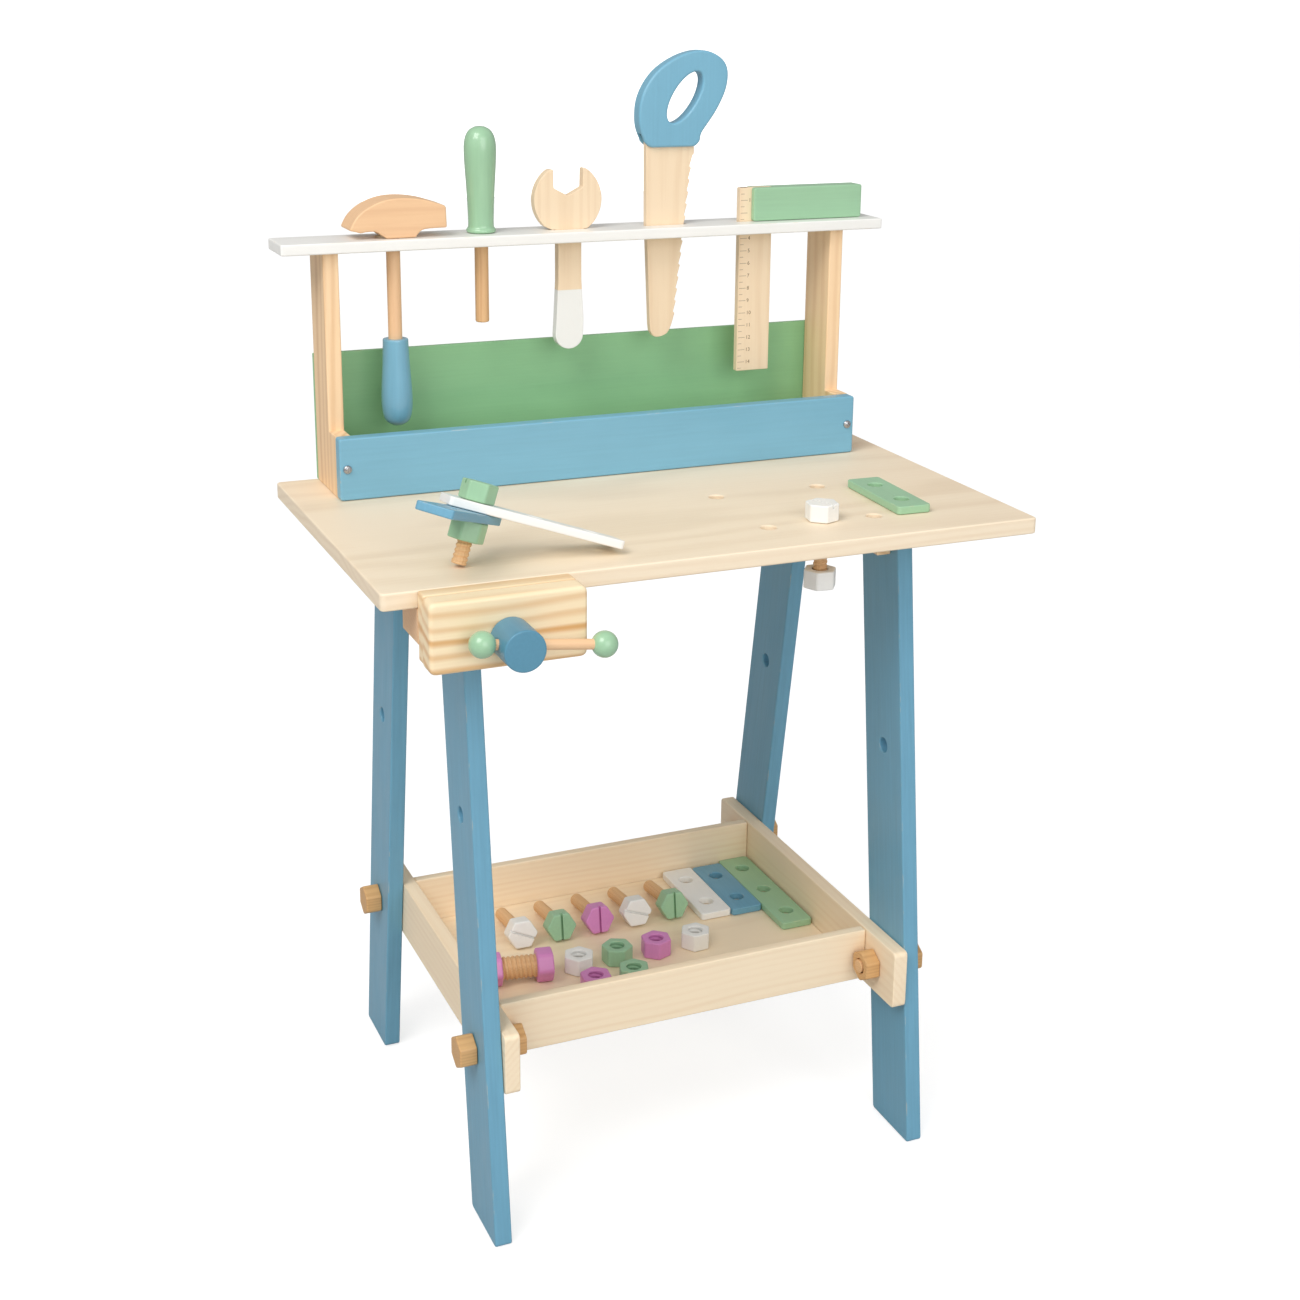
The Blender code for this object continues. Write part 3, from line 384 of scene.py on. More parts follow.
def swing(tree, pattern, middle, amount):
    """(pattern - middle) amount."""
    return reckon(tree, "MULTIPLY", reckon(tree, "SUBTRACT", pattern, middle), amount)


def step_between(tree, value, low, high, to_low=0.0, to_high=1.0):
    """Smooth step from to_low at low to to_high at high."""
    node = tree.nodes.new("ShaderNodeMapRange")
    node.interpolation_type = "SMOOTHSTEP"
    for socket, number in zip(node.inputs[:5], (value, low, high, to_low, to_high)):
        plug(tree, number, socket)
    return node.outputs[0]


def stretched_noise(tree, place, stretch, detail=2.0):
    """Noise of (place x stretch): a larger stretch gives finer marks along that axis."""
    scaled = tree.nodes.new("ShaderNodeVectorMath")
    scaled.operation = "MULTIPLY"
    plug(tree, place, scaled.inputs[0])
    scaled.inputs[1].default_value = stretch
    noise = tree.nodes.new("ShaderNodeTexNoise")
    noise.inputs["Scale"].default_value = 1.0
    noise.inputs["Detail"].default_value = detail
    tree.links.new(scaled.outputs[0], noise.inputs["Vector"])
    return noise.outputs["Fac"]


def blend_colours(tree, factor, first, second):
    """first (1 - factor) + second factor."""
    node = tree.nodes.new("ShaderNodeMix")
    node.data_type = "RGBA"
    plug(tree, factor, node.inputs[0])
    plug(tree, first, node.inputs[6])
    plug(tree, second, node.inputs[7])
    return node.outputs[2]


def new_group(name, inputs, outputs):
    """An empty node group with named sockets, its input node and its output node."""
    group = bpy.data.node_groups.new(name, "ShaderNodeTree")
    for label, kind, value in inputs:
        socket = group.interface.new_socket(label, in_out="INPUT", socket_type=kind)
        socket.default_value = value
    for label, kind in outputs:
        group.interface.new_socket(label, in_out="OUTPUT", socket_type=kind)
    return group, group.nodes.new("NodeGroupInput"), group.nodes.new("NodeGroupOutput")


FLOAT, COLOUR, VECTOR = "NodeSocketFloat", "NodeSocketColor", "NodeSocketVector"
print("node helpers ready")


# %% Wood figure
def wood_figure():
    """Ring number = sqrt(y^2 + (z + pith depth)^2) / spacing; each ring darkens, then drops back to pale."""
    group, given, result = new_group(
        "wood figure",
        [("Place", VECTOR, (0, 0, 0)), ("Pale", COLOUR, (1, 1, 1, 1)), ("Dark", COLOUR, (0.5, 0.3, 0.1, 1)),
         ("Ring spacing", FLOAT, 0.003), ("Ring strength", FLOAT, 0.5), ("Pith depth", FLOAT, 0.05),
         ("Fibre strength", FLOAT, 0.3), ("Waviness", FLOAT, 0.01)],
        [("Colour", COLOUR), ("Height", FLOAT), ("Late growth", FLOAT)])
    place = given.outputs["Place"]
    split = group.nodes.new("ShaderNodeSeparateXYZ")
    group.links.new(place, split.inputs[0])
    bend = swing(group, stretched_noise(group, place, (4, 16, 16), 1.5), 0.5, given.outputs["Waviness"])
    quiver = swing(group, stretched_noise(group, place, (14, 120, 120), 2), 0.5, 0.0012)
    down = reckon(group, "ADD", split.outputs[2], given.outputs["Pith depth"])
    squares = [reckon(group, "POWER", side, 2.0) for side in (down, split.outputs[1])]
    distance = reckon(group, "SQRT", reckon(group, "ADD", *squares))
    wandering = reckon(group, "ADD", reckon(group, "ADD", distance, bend), quiver)
    number = reckon(group, "DIVIDE", wandering, given.outputs["Ring spacing"])
    phase = reckon(group, "FRACT", number)
    late = reckon(group, "MULTIPLY", step_between(group, phase, 0.20, 0.62),
                  step_between(group, phase, 0.66, 1.0, 1.0, 0.0))
    year = group.nodes.new("ShaderNodeTexWhiteNoise")
    year.noise_dimensions = "1D"
    group.links.new(reckon(group, "FLOOR", number), year.inputs["W"])
    late = reckon(group, "MULTIPLY", late, step_between(group, year.outputs["Value"], 0, 1, 0.45, 1.0))
    fibre = stretched_noise(group, place, (22, 620, 620), 3)
    patch = stretched_noise(group, place, (3, 11, 11), 1)
    shade = reckon(group, "MULTIPLY", late, given.outputs["Ring strength"])
    shade = reckon(group, "ADD", shade, swing(group, fibre, 0.45, given.outputs["Fibre strength"]))
    shade = reckon(group, "ADD", shade, swing(group, patch, 0.5, 0.25), clamp=True)
    group.links.new(blend_colours(group, shade, given.outputs["Pale"], given.outputs["Dark"]),
                    result.inputs["Colour"])
    height = reckon(group, "SUBTRACT", fibre, reckon(group, "MULTIPLY", late, 0.04))
    group.links.new(height, result.inputs["Height"])
    group.links.new(late, result.inputs["Late growth"])
    return group


WOOD_FIGURE = wood_figure()
print("group", WOOD_FIGURE.name, "with", len(WOOD_FIGURE.nodes), "nodes")

# %% [markdown]
# The paint is a thin satin coat. Fibres raise it in fine lines along the grain, it gathers and thins in
# soft patches, and on the eased edges sanding and handling let a little pale wood through. The edge is
# known from the attribute *form*, which the board function wrote while it rounded the edge.


# %% Paint film
def paint_film():
    """Brightness = 1 + fibre + patch; wood shows where half the edge + speckle passes a threshold."""
    group, given, result = new_group(
        "paint film",
        [("Place", VECTOR, (0, 0, 0)), ("Form", VECTOR, (0, 0, 0)), ("Paint", COLOUR, (0.2, 0.4, 0.6, 1)),
         ("Wood", COLOUR, (0.8, 0.6, 0.4, 1)), ("Wear", FLOAT, 0.5), ("Fibre", FLOAT, 0.12)],
        [("Colour", COLOUR), ("Height", FLOAT), ("Roughness", FLOAT)])
    place = given.outputs["Place"]
    fibre = stretched_noise(group, place, (18, 480, 480), 3)
    patch = stretched_noise(group, place, (20, 34, 34), 2)
    tone = group.nodes.new("ShaderNodeHueSaturation")
    change = reckon(group, "ADD", swing(group, fibre, 0.5, given.outputs["Fibre"]),
                    swing(group, patch, 0.5, 0.10))
    group.links.new(reckon(group, "ADD", 1.0, change), tone.inputs["Value"])
    group.links.new(given.outputs["Paint"], tone.inputs["Color"])
    edge = group.nodes.new("ShaderNodeSeparateXYZ")
    group.links.new(given.outputs["Form"], edge.inputs[0])
    speckle = stretched_noise(group, place, (70, 190, 190), 3)
    bare = reckon(group, "ADD", reckon(group, "MULTIPLY", edge.outputs[1], 0.5), speckle)
    bare = reckon(group, "MULTIPLY", step_between(group, bare, 0.98, 1.12), given.outputs["Wear"])
    group.links.new(blend_colours(group, bare, tone.outputs[0], given.outputs["Wood"]),
                    result.inputs["Colour"])
    height = reckon(group, "ADD", reckon(group, "MULTIPLY", fibre, 0.8),
                    reckon(group, "MULTIPLY", patch, 0.4))
    group.links.new(height, result.inputs["Height"])
    rough = reckon(group, "ADD", step_between(group, patch, 0.3, 0.7, 0.40, 0.50),
                   reckon(group, "MULTIPLY", bare, 0.2))
    group.links.new(rough, result.inputs["Roughness"])
    return group


PAINT_FILM = paint_film()
print("group", PAINT_FILM.name, "with", len(PAINT_FILM.nodes), "nodes")


# %% Finishes
def start_finish(name, bump_strength, coat=0.0, coat_roughness=0.3):
    """A Principled material with a Bump node of 0.2 mm; returns material, tree, shader and bump."""
    made = bpy.data.materials.new(name)
    made.use_nodes = True
    tree = made.node_tree
    shader = tree.nodes["Principled BSDF"]
    shader.inputs["Coat Weight"].default_value = coat
    shader.inputs["Coat Roughness"].default_value = coat_roughness
    bump = tree.nodes.new("ShaderNodeBump")
    bump.inputs["Strength"].default_value = bump_strength
    bump.inputs["Distance"].default_value = 0.0002
    tree.links.new(bump.outputs[0], shader.inputs["Normal"])
    return made, tree, shader, bump


def own(tree, attribute):
    """A vector that the piece carries on its mesh."""
    node = tree.nodes.new("ShaderNodeAttribute")
    node.attribute_name = attribute
    return node.outputs["Vector"]


def add_group(tree, group, **values):
    """Place a node group with its own values; underscores in a name stand for spaces."""
    node = tree.nodes.new("ShaderNodeGroup")
    node.node_tree = group
    for label, value in values.items():
        plug(tree, value, node.inputs[label.replace("_", " ")])
    return node


def lay_figure(tree, pale, dark, spacing, rings, pith, fibre, wave):
    """The wood figure along the piece's own grain, between two display colours."""
    return add_group(tree, WOOD_FIGURE, Place=own(tree, "grain"), Pale=srgb(*pale), Dark=srgb(*dark),
                     Ring_spacing=spacing, Ring_strength=rings, Pith_depth=pith, Fibre_strength=fibre,
                     Waviness=wave)


def wood_finish(name, figure_values, bump):
    """Bare wood under a thin lacquer; late growth is a little smoother."""
    made, tree, shader, relief = start_finish(name, bump, 0.08, 0.35)
    figure = lay_figure(tree, *figure_values)
    tree.links.new(figure.outputs["Colour"], shader.inputs["Base Color"])
    tree.links.new(figure.outputs["Height"], relief.inputs["Height"])
    tree.links.new(step_between(tree, figure.outputs["Late growth"], 0, 1, 0.55, 0.42),
                   shader.inputs["Roughness"])
    return made


def paint_finish(name, colour, wear, fibre, bump, coat):
    """A thin satin coat over pale wood."""
    made, tree, shader, relief = start_finish(name, bump, coat, 0.14)
    film = add_group(tree, PAINT_FILM, Place=own(tree, "grain"), Form=own(tree, "form"), Paint=srgb(*colour),
                     Wood=srgb(226, 196, 150), Wear=wear, Fibre=fibre)
    tree.links.new(film.outputs["Colour"], shader.inputs["Base Color"])
    tree.links.new(film.outputs["Height"], relief.inputs["Height"])
    tree.links.new(film.outputs["Roughness"], shader.inputs["Roughness"])
    return made


# Pale, dark, ring spacing (m), ring strength, pith depth (m), fibre strength, waviness (m); bump; slot.
WOODS = {
    "table wood": ((247, 229, 202), (218, 184, 142), 0.0060, 0.24, 0.020, 0.26, 0.016, 0.35, "pale_wood"),
    "tray wood": ((251, 231, 200), (226, 188, 142), 0.0046, 0.20, 0.030, 0.22, 0.014, 0.35, "pale_wood"),
    "post pine": ((250, 216, 174), (212, 160, 104), 0.0064, 0.50, 0.014, 0.26, 0.016, 0.35, "pine"),
    "jaw pine": ((250, 228, 190), (220, 168, 106), 0.0100, 0.95, 0.009, 0.24, 0.024, 0.15, "pine"),
    "beech": ((228, 184, 134), (182, 126, 80), 0.0016, 0.28, 0.030, 0.45, 0.006, 0.35, "beech"),
    "bolt beech": ((216, 170, 114), (172, 120, 70), 0.0024, 0.34, 0.030, 0.40, 0.008, 0.35, "beech"),
    "head beech": ((240, 198, 154), (206, 152, 108), 0.0034, 0.22, 0.040, 0.34, 0.010, 0.35, "beech"),
}
# Colour, wear, fibre, bump, coat; slot.
PAINTS = {
    "blue": ((119, 176, 201), 0.25, 0.12, 0.5, 0.25, "blue_paint"),
    "deep blue": ((106, 163, 190), 0.25, 0.24, 0.5, 0.25, "blue_paint"),
    "knob blue": ((84, 142, 168), 0.25, 0.12, 0.5, 0.25, "blue_paint"),
    "grip blue": ((119, 176, 201), 0.0, 0.14, 0.2, 0.9, "blue_paint"),
    "panel green": ((142, 196, 144), 0.25, 0.08, 0.5, 0.25, "green_paint"),
    "handle green": ((156, 198, 160), 0.0, 0.14, 0.2, 0.9, "green_paint"),
    "green": ((156, 198, 160), 0.25, 0.12, 0.5, 0.25, "green_paint"),
    "white": ((244, 243, 239), 0.25, 0.05, 0.5, 0.25, "white_paint"),
    "pink": ((218, 138, 198), 0.25, 0.12, 0.5, 0.25, "pink_paint"),
}
FINISHES = {name: (wood_finish(name, values, bump), slot) for name, (*values, bump, slot) in WOODS.items()}
FINISHES |= {name: (paint_finish(name, *values), slot) for name, (*values, slot) in PAINTS.items()}
print("finishes", ", ".join(FINISHES))

# %% [markdown]
# The flat tools share one wood. Two of them carry marks of their own: the wrench's handle is dipped in
# white paint below a level line, and the ruler has fine division lines along one side. Both follow the
# piece's own position, so the marks stay in place when the tool is lifted.


# %% Tool wood, dipped wrench and ruler
def marked_wood(name, marks, mark_colour, mark_rough):
    """Tool wood whose colour turns to mark_colour where marks(tree, x, z) is 1."""
    made, tree, shader, relief = start_finish(name, 0.3, 0.08, 0.35)
    figure = lay_figure(tree, (243, 219, 186), (214, 177, 134), 0.0036, 0.22, 0.025, 0.30, 0.010)
    where = tree.nodes.new("ShaderNodeTexCoord")
    split = tree.nodes.new("ShaderNodeSeparateXYZ")
    tree.links.new(where.outputs["Object"], split.inputs[0])
    mask = marks(tree, split.outputs[0], split.outputs[2])
    tree.links.new(blend_colours(tree, mask, figure.outputs["Colour"], srgb(*mark_colour)),
                   shader.inputs["Base Color"])
    tree.links.new(figure.outputs["Height"], relief.inputs["Height"])
    tree.links.new(step_between(tree, mask, 0, 1, 0.5, mark_rough), shader.inputs["Roughness"])
    return made


DIP_LINE = 0.6405                  # height of the paint's edge, soft over 0.6 mm
RULER_LOW, RULER_HIGH = node_box("square_ruler")
RULER_LEFT, RULER_TOP = float(RULER_LOW[0]), float(RULER_HIGH[2])


def dipped(tree, across, height):
    """1 below the dip line."""
    return step_between(tree, height, DIP_LINE - 0.0003, DIP_LINE + 0.0003, 1.0, 0.0)


def unmarked(tree, across, height):
    """0 everywhere."""
    return reckon(tree, "MULTIPLY", height, 0.0)


def ruled(tree, across, height):
    """Lines every 5 mm, 4 mm long, and every 10 mm, 6.8 mm long, measured down from the ruler's top."""
    down = reckon(tree, "SUBTRACT", RULER_TOP, height)
    inwards = reckon(tree, "SUBTRACT", across, RULER_LEFT)
    marks = 0.0
    for spacing, length in ((0.005, 0.0040), (0.010, 0.0068)):
        turn = reckon(tree, "FRACT", reckon(tree, "DIVIDE", down, spacing))
        off_line = reckon(tree, "ABSOLUTE", reckon(tree, "SUBTRACT", turn, 0.5))
        line = step_between(tree, off_line, 0.5 - 0.00022 / spacing, 0.5 - 0.00014 / spacing)
        near = reckon(tree, "LESS_THAN", inwards, length)
        marks = reckon(tree, "MAXIMUM", marks, reckon(tree, "MULTIPLY", line, near))
    inside = reckon(tree, "GREATER_THAN", inwards, 0.0008)
    return reckon(tree, "MULTIPLY", reckon(tree, "MULTIPLY", marks, inside), 0.75)


for name, marks, colour, rough in (("tool wood", unmarked, (247, 225, 196), 0.50),
                                   ("dipped wood", dipped, (240, 240, 236), 0.42),
                                   ("ruled wood", ruled, (116, 90, 60), 0.55)):
    FINISHES[name] = (marked_wood(name, marks, colour, rough), "pale_wood")


def screw_steel():
    """Zinc-plated steel with fine turning marks."""
    made, tree, shader, relief = start_finish("screw steel", 0.2)
    shader.inputs["Metallic"].default_value = 1.0
    where = tree.nodes.new("ShaderNodeTexCoord")
    grit = stretched_noise(tree, where.outputs["Object"], (900, 900, 900), 2)
    tree.links.new(blend_colours(tree, grit, srgb(150, 150, 152), srgb(205, 205, 208)),
                   shader.inputs["Base Color"])
    tree.links.new(step_between(tree, grit, 0.2, 0.8, 0.25, 0.45), shader.inputs["Roughness"])
    tree.links.new(grit, relief.inputs["Height"])
    return made


FINISHES["steel"] = (screw_steel(), "steel")
print("marked finishes ready")

# %% [markdown]
# ## From surface to piece
# The last helper puts the shells of a piece into one mesh at its place, writes the attributes that the
# finishes read, shades the eased edges smoothly while the broad faces stay flat, and hands the piece to
# its body. A screwdriver slot or a cross hole is cut with a solid boolean, applied at once: those edges
# are sharp on the real wood as well, and a hand-made surface would gain nothing there.

# %% Make a piece
GRAIN_ORDER = {"a": (0, 1, 2), "b": (1, 0, 2), "c": (2, 0, 1)}


def mesh_object(name, shells, place):
    """One object from closed shells, with its place in its points."""
    points, faces, start = [], [], 0
    for shell_points, shell_faces, _ in shells:
        points.append(carry(shell_points, place))
        faces += [[v + start for v in face] for face in shell_faces]
        start += len(shell_points)
    mesh = bpy.data.meshes.new(name)
    mesh.from_pydata(np.concatenate(points).tolist(), [], faces)
    mesh.update()
    made = bpy.data.objects.new(name, mesh)
    bpy.context.scene.collection.objects.link(made)
    return made


def carve(piece, shell, place):
    """Take a solid away from a piece and keep only the result."""
    tool = mesh_object("carving_tool", [shell], place)
    difference = piece.modifiers.new("carve", "BOOLEAN")
    difference.operation, difference.solver, difference.object = "DIFFERENCE", "EXACT", tool
    depsgraph = bpy.context.evaluated_depsgraph_get()
    result = bpy.data.meshes.new_from_object(piece.evaluated_get(depsgraph))
    piece.modifiers.clear()
    piece.data = result
    bpy.data.objects.remove(tool, do_unlink=True)


def make_piece(name, shells, place, finish, body, node=None, grain="a", cuts=()):
    """Build a piece, carve it, write grain and form, shade it, and let it ride on its body.

    grain names the local axis that the fibres follow. A number made from the piece's name moves each
    piece to another part of the trunk, so that like boards differ in figure.
    """
    piece = mesh_object(name, shells, place)
    for shell, shell_place in cuts:
        carve(piece, shell, shell_place)
    mesh = piece.data
    points = np.empty(len(mesh.vertices) * 3)
    mesh.vertices.foreach_get("co", points)
    seed = sum(name.encode()) % 97
    local = bring_back(points.reshape(-1, 3), place)[:, GRAIN_ORDER[grain]]
    local = local + np.array([0.137 * seed, 0.0023 * (seed % 7 - 3), 0.0011 * (seed % 5)])
    form = np.zeros((len(local), 3)) if cuts else np.concatenate([shell[2] for shell in shells])
    for label, values in (("grain", local), ("form", form)):
        mesh.attributes.new(label, "FLOAT_VECTOR", "POINT").data.foreach_set("vector", values.ravel())
    mesh.shade_smooth()
    mesh.set_sharp_from_angle(angle=math.radians(38))
    flatten = piece.modifiers.new("keep broad faces flat", "WEIGHTED_NORMAL")
    flatten.keep_sharp = True
    material, slot = FINISHES[finish]
    mesh.materials.clear()
    mesh.materials.append(material)
    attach(piece, body)
    if node:
        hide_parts(node)
    return piece


def board(node, place, finish, body="bench", grain="a", corner=0.0, ease=EASE, steps=3, holes=(),
          outline=None):
    """A flat board that fills its node's box, in one of the three square placing frames.

    A corner is never tighter than 1.8 eases, or the inner rings of the edge would cross.
    """
    corners = bring_back(np.array(node_box(node)), place)
    low, high = corners.min(0), corners.max(0)
    loop = rectangle(low, high) if outline is None else np.asarray(outline)
    if corner:
        loop = round_corners(loop, max(corner, 1.8 * ease))
    shell = plate(loop, low[2], high[2], ease, holes, steps)
    return make_piece(node + "_wood", [shell], place, finish, body, node, grain)


print("piece helper ready")

# %% [markdown]
# ## The bench: tabletop, legs and rails
# The tabletop is a pale board with four holes for pegs and a fifth that the white bolt uses. Each leg is
# drawn along its own slant, because its fibres follow the leg and not the floor; its two ends are cut
# level, so their corners are taken from the level lines and brought into the leg's axes.

# %% Tabletop
# Across and back from the tabletop's front left corner; the last one holds the white bolt.
PEG_HOLES = [(0.296, 0.048), (0.381, 0.048), (0.381, 0.136), (0.296, 0.136), (0.3405, 0.052)]
peg_loops = [circle((x - HALF_WIDTH, TABLE_FRONT + y), HOLE_RADIUS) for x, y in PEG_HOLES]
board("tabletop", FLAT, "table wood", corner=0.004, ease=0.0013, steps=4, holes=peg_loops)
print("tabletop with", len(peg_loops), "holes")

# %% Legs and rails
LEG_HALF = 0.0274                  # half a leg's width, measured level
LEG_LINES = {"front": (0.0276, 0.0863), "back": (0.3188, 0.2387)}      # foot and head, back from the front
LEG_TOP = float(node_box("leg_front_left")[1][2])
BOLT_LEVEL, BOLT_HOLE = 0.137, SHANK_RADIUS + GAP
SPARE_LEVEL, SPARE_HOLE = 0.310, 0.0057


def leg_line(end, height):
    """Y of a leg's centre line at a height: foot + (head - foot) height / top."""
    foot, head = LEG_LINES[end]
    return TABLE_FRONT + foot + (head - foot) * height / LEG_TOP


def leg(end, side):
    """A slanted board with level ends, a bolt hole and a spare hole."""
    node = f"leg_{end}_{side}"
    low, high = node_box(node)
    foot, head = leg_line(end, 0), leg_line(end, LEG_TOP)
    place = placing((0, foot, 0), (0, head - foot, LEG_TOP), -Y_AXIS)
    level = [(0, foot - LEG_HALF, 0), (0, foot + LEG_HALF, 0),
             (0, head + LEG_HALF, LEG_TOP), (0, head - LEG_HALF, LEG_TOP)]
    outline = round_corners(bring_back(level, place)[:, :2], 0.0030)
    holes = [circle(bring_back([(0, leg_line(end, z), z)], place)[0, :2], radius)
             for z, radius in ((BOLT_LEVEL, BOLT_HOLE), (SPARE_LEVEL, SPARE_HOLE))]
    shell = plate(outline, low[0], high[0], 0.0013, holes)
    return make_piece(node + "_wood", [shell], place, "deep blue", "bench", node)


for end in LEG_LINES:
    for side in ("left", "right"):
        leg(end, side)
for side in ("left", "right"):
    board(f"leg_batten_{side}", SIDEWAYS, "post pine")
print("legs and rails made")

# %% [markdown]
# ## The tool rack
# Two stepped pine posts stand on the tabletop. The step carries the blue front board, the thin green
# panel closes the back, and the white shelf on top has a hole or a slot for every tool.

# %% Posts, panel and front board
BOARD_TOP = float(node_box("rack_front_board")[1][2])
STEP_FRONT = TABLE_FRONT + 0.2508  # front of a post above its step
for side in ("left", "right"):
    low, high = node_box(f"rack_upright_{side}")
    step = [(low[1], low[2]), (high[1], low[2]), (high[1], high[2]), (STEP_FRONT, high[2]),
            (STEP_FRONT, BOARD_TOP), (low[1], BOARD_TOP)]
    board(f"rack_upright_{side}", SIDEWAYS, "post pine", grain="b", outline=step)
board("rack_back_panel", FACING, "panel green", ease=0.0006, corner=0.001)
board("rack_front_board", FACING, "blue", ease=0.0013, corner=0.0015)
print("rack posts and boards made")

# %% Shelf
TOOL_X = {"hammer": 0.0880, "screwdriver": 0.1565, "wrench": 0.2260, "saw": 0.3070, "square": 0.3845}
TOOL_X = {tool: x - HALF_WIDTH for tool, x in TOOL_X.items()}
ROUND_HOLES = {"hammer": 0.0123, "screwdriver": 0.0060}               # radius
SLOTS = [(0.2133, 0.2399, 0.0046), (0.2891, 0.3246, 0.0036), (0.3692, 0.4000, 0.0036)]  # left, right, half
shelf_holes = [circle((TOOL_X[tool], TOOL_Y), radius) for tool, radius in ROUND_HOLES.items()]
for left, right, half in SLOTS:
    slot = rectangle((left - HALF_WIDTH, TOOL_Y - half), (right - HALF_WIDTH, TOOL_Y + half))
    shelf_holes.append(round_corners(slot, 0.0015))
board("tool_shelf", FLAT, "white", corner=0.002, holes=shelf_holes)


SCREW_Y = TABLE_FRONT + 0.2218     # the plane under the screws' heads


def rack_screw(side):
    """A dome head h = 0.2 mm + 1.9 mm sqrt(1 - (r / R)^2) with a cross recess, on a short shank."""
    low, high = node_box(f"rack_screw_{side}")
    place = placing(((low[0] + high[0]) / 2, SCREW_Y, (low[2] + high[2]) / 2), X_AXIS, Z_AXIS)
    t = np.linspace(0, np.pi / 2, 9)
    dome = np.stack([0.0002 + 0.0019 * np.sin(t), 0.0033 * np.cos(t)], 1)
    profile = np.concatenate([[(-0.0150, 0), (-0.0146, 0.0012), (0.0, 0.0014), (0.0001, 0.0031)], dome])
    arms = ((0.0018, 0.00035), (0.00035, 0.0018))
    recess = [plate(rectangle((-x, -y), (x, y)), 0.0011, 0.004, 0.00005) for x, y in arms]
    make_piece(f"rack_screw_{side}_steel", [turned(profile, 32)], place, "steel", "bench",
               f"rack_screw_{side}", "c", [(shell, place) for shell in recess])


for side in ("left", "right"):
    rack_screw(side)
print("shelf with", len(shelf_holes), "openings and two screws made")

# %% [markdown]
# ## The tray
# Two side boards are bolted between the legs with plain beech bolts. Two cross walls and a thin floor
# close the tray.

# %% Tray boards
for side in ("left", "right"):
    bolt_loops = [circle((leg_line(end, BOLT_LEVEL), BOLT_LEVEL), BOLT_HOLE) for end in LEG_LINES]
    board(f"tray_side_{side}", SIDEWAYS, "tray wood", corner=0.004, holes=bolt_loops)
for end in ("front", "back"):
    board(f"tray_{end}_wall", FACING, "tray wood", corner=0.0012)
board("tray_floor", FLAT, "tray wood", ease=0.0004)
print("tray boards made")


# %% Bolts and nuts
def bolt(name, place, colour, body, node=None, length=SHANK_LENGTH, turn=0.0, slot_turn=None):
    """A threaded shank from height 0 to length, under a hexagonal head with an optional slot.

    The last 3 mm of the shank are plain, and its top 1 mm stands in the head.
    """
    top = length + HEAD_HEIGHT
    head = plate(hexagon(HEX_FLATS, turn), length, top, 0.0011)
    cuts = []
    if slot_turn is not None:
        u = math.radians(slot_turn)
        spin = np.array([(math.cos(u), math.sin(u)), (-math.sin(u), math.cos(u))])
        groove = rectangle((-HEX_FLATS, -0.0010), (HEX_FLATS, 0.0010)) @ spin
        cuts = [(plate(groove, top - 0.0030, top + 0.002, 0.0001), place)]
    make_piece(name + "_head", [head], place, colour, body, node, "c", cuts)
    rod = threaded_dowel(0, length + 0.001, SHANK_RADIUS, plain_from=length - 0.003)
    make_piece(name + "_shank", [rod], place, "beech", body, None, "c")


def nut(name, place, colour, body, node=None, low=0.0, height=NUT_HEIGHT, turn=0.0):
    """A hexagonal nut with a threaded hole."""
    shell = plate(hexagon(HEX_FLATS, turn), low, low + height, 0.0010,
                  [circle((0, 0), HOLE_RADIUS, 36)], thread=(0.0005, THREAD_PITCH))
    make_piece(name + "_wood", [shell], place, colour, body, node, "c")


TRAY_NUT_HEIGHT = 0.0120
for side, way in (("left", -1), ("right", 1)):
    outer = node_box(f"leg_front_{side}")[0 if way < 0 else 1][0] + way * GAP
    length = abs(node_box(f"tray_side_{side}")[0 if way > 0 else 1][0] - outer) + TRAY_NUT_HEIGHT + 0.0018
    for end in LEG_LINES:
        start = (outer - way * length, leg_line(end, BOLT_LEVEL), BOLT_LEVEL)
        place = placing(start, Y_AXIS * way, Z_AXIS)
        for make, kind, sizes in ((bolt, "bolt", (length, 30)), (nut, "nut", (0.0015, TRAY_NUT_HEIGHT, 30))):
            name = f"tray_{kind}_{end}_{side}"
            make(name, place, "bolt beech", "bench", name, *sizes)
print("tray bolts and nuts made")

# %% [markdown]
# ## The vise
# The block and the fixed jaw are fixed to the bench. The moving jaw is a piece of pine with a bold
# figure and well rounded edges. It slides on two guide rods and is drawn by a wooden spindle, whose knob
# is crossed by a bar with a ball on each end.

# %% Jaws
VISE_X, VISE_Z = 0.0755 - HALF_WIDTH, 0.4720           # the spindle's line
ROD_SPREAD, ROD_RADIUS, SPINDLE_RADIUS = 0.0340, 0.0040, 0.0070
spindle_loop = circle((VISE_X, VISE_Z), SPINDLE_RADIUS + GAP)
rod_loops = [circle((VISE_X + way * ROD_SPREAD, VISE_Z), ROD_RADIUS + GAP, 24) for way in (-1, 1)]
board("vise_block", FACING, "head beech", corner=0.001, ease=0.0008, holes=[spindle_loop] + rod_loops)
board("vise_fixed_jaw", FACING, "jaw pine", corner=0.001, holes=[spindle_loop] + rod_loops)
board("vise_moving_jaw", FACING, "jaw pine", "vise_jaw", corner=0.0025, ease=0.0028, steps=6,
      holes=[spindle_loop])
JAW_LOW, JAW_HIGH = node_box("vise_moving_jaw")
JAW_BACK = float(JAW_HIGH[1])
JAW_THICK = JAW_BACK - float(JAW_LOW[1])
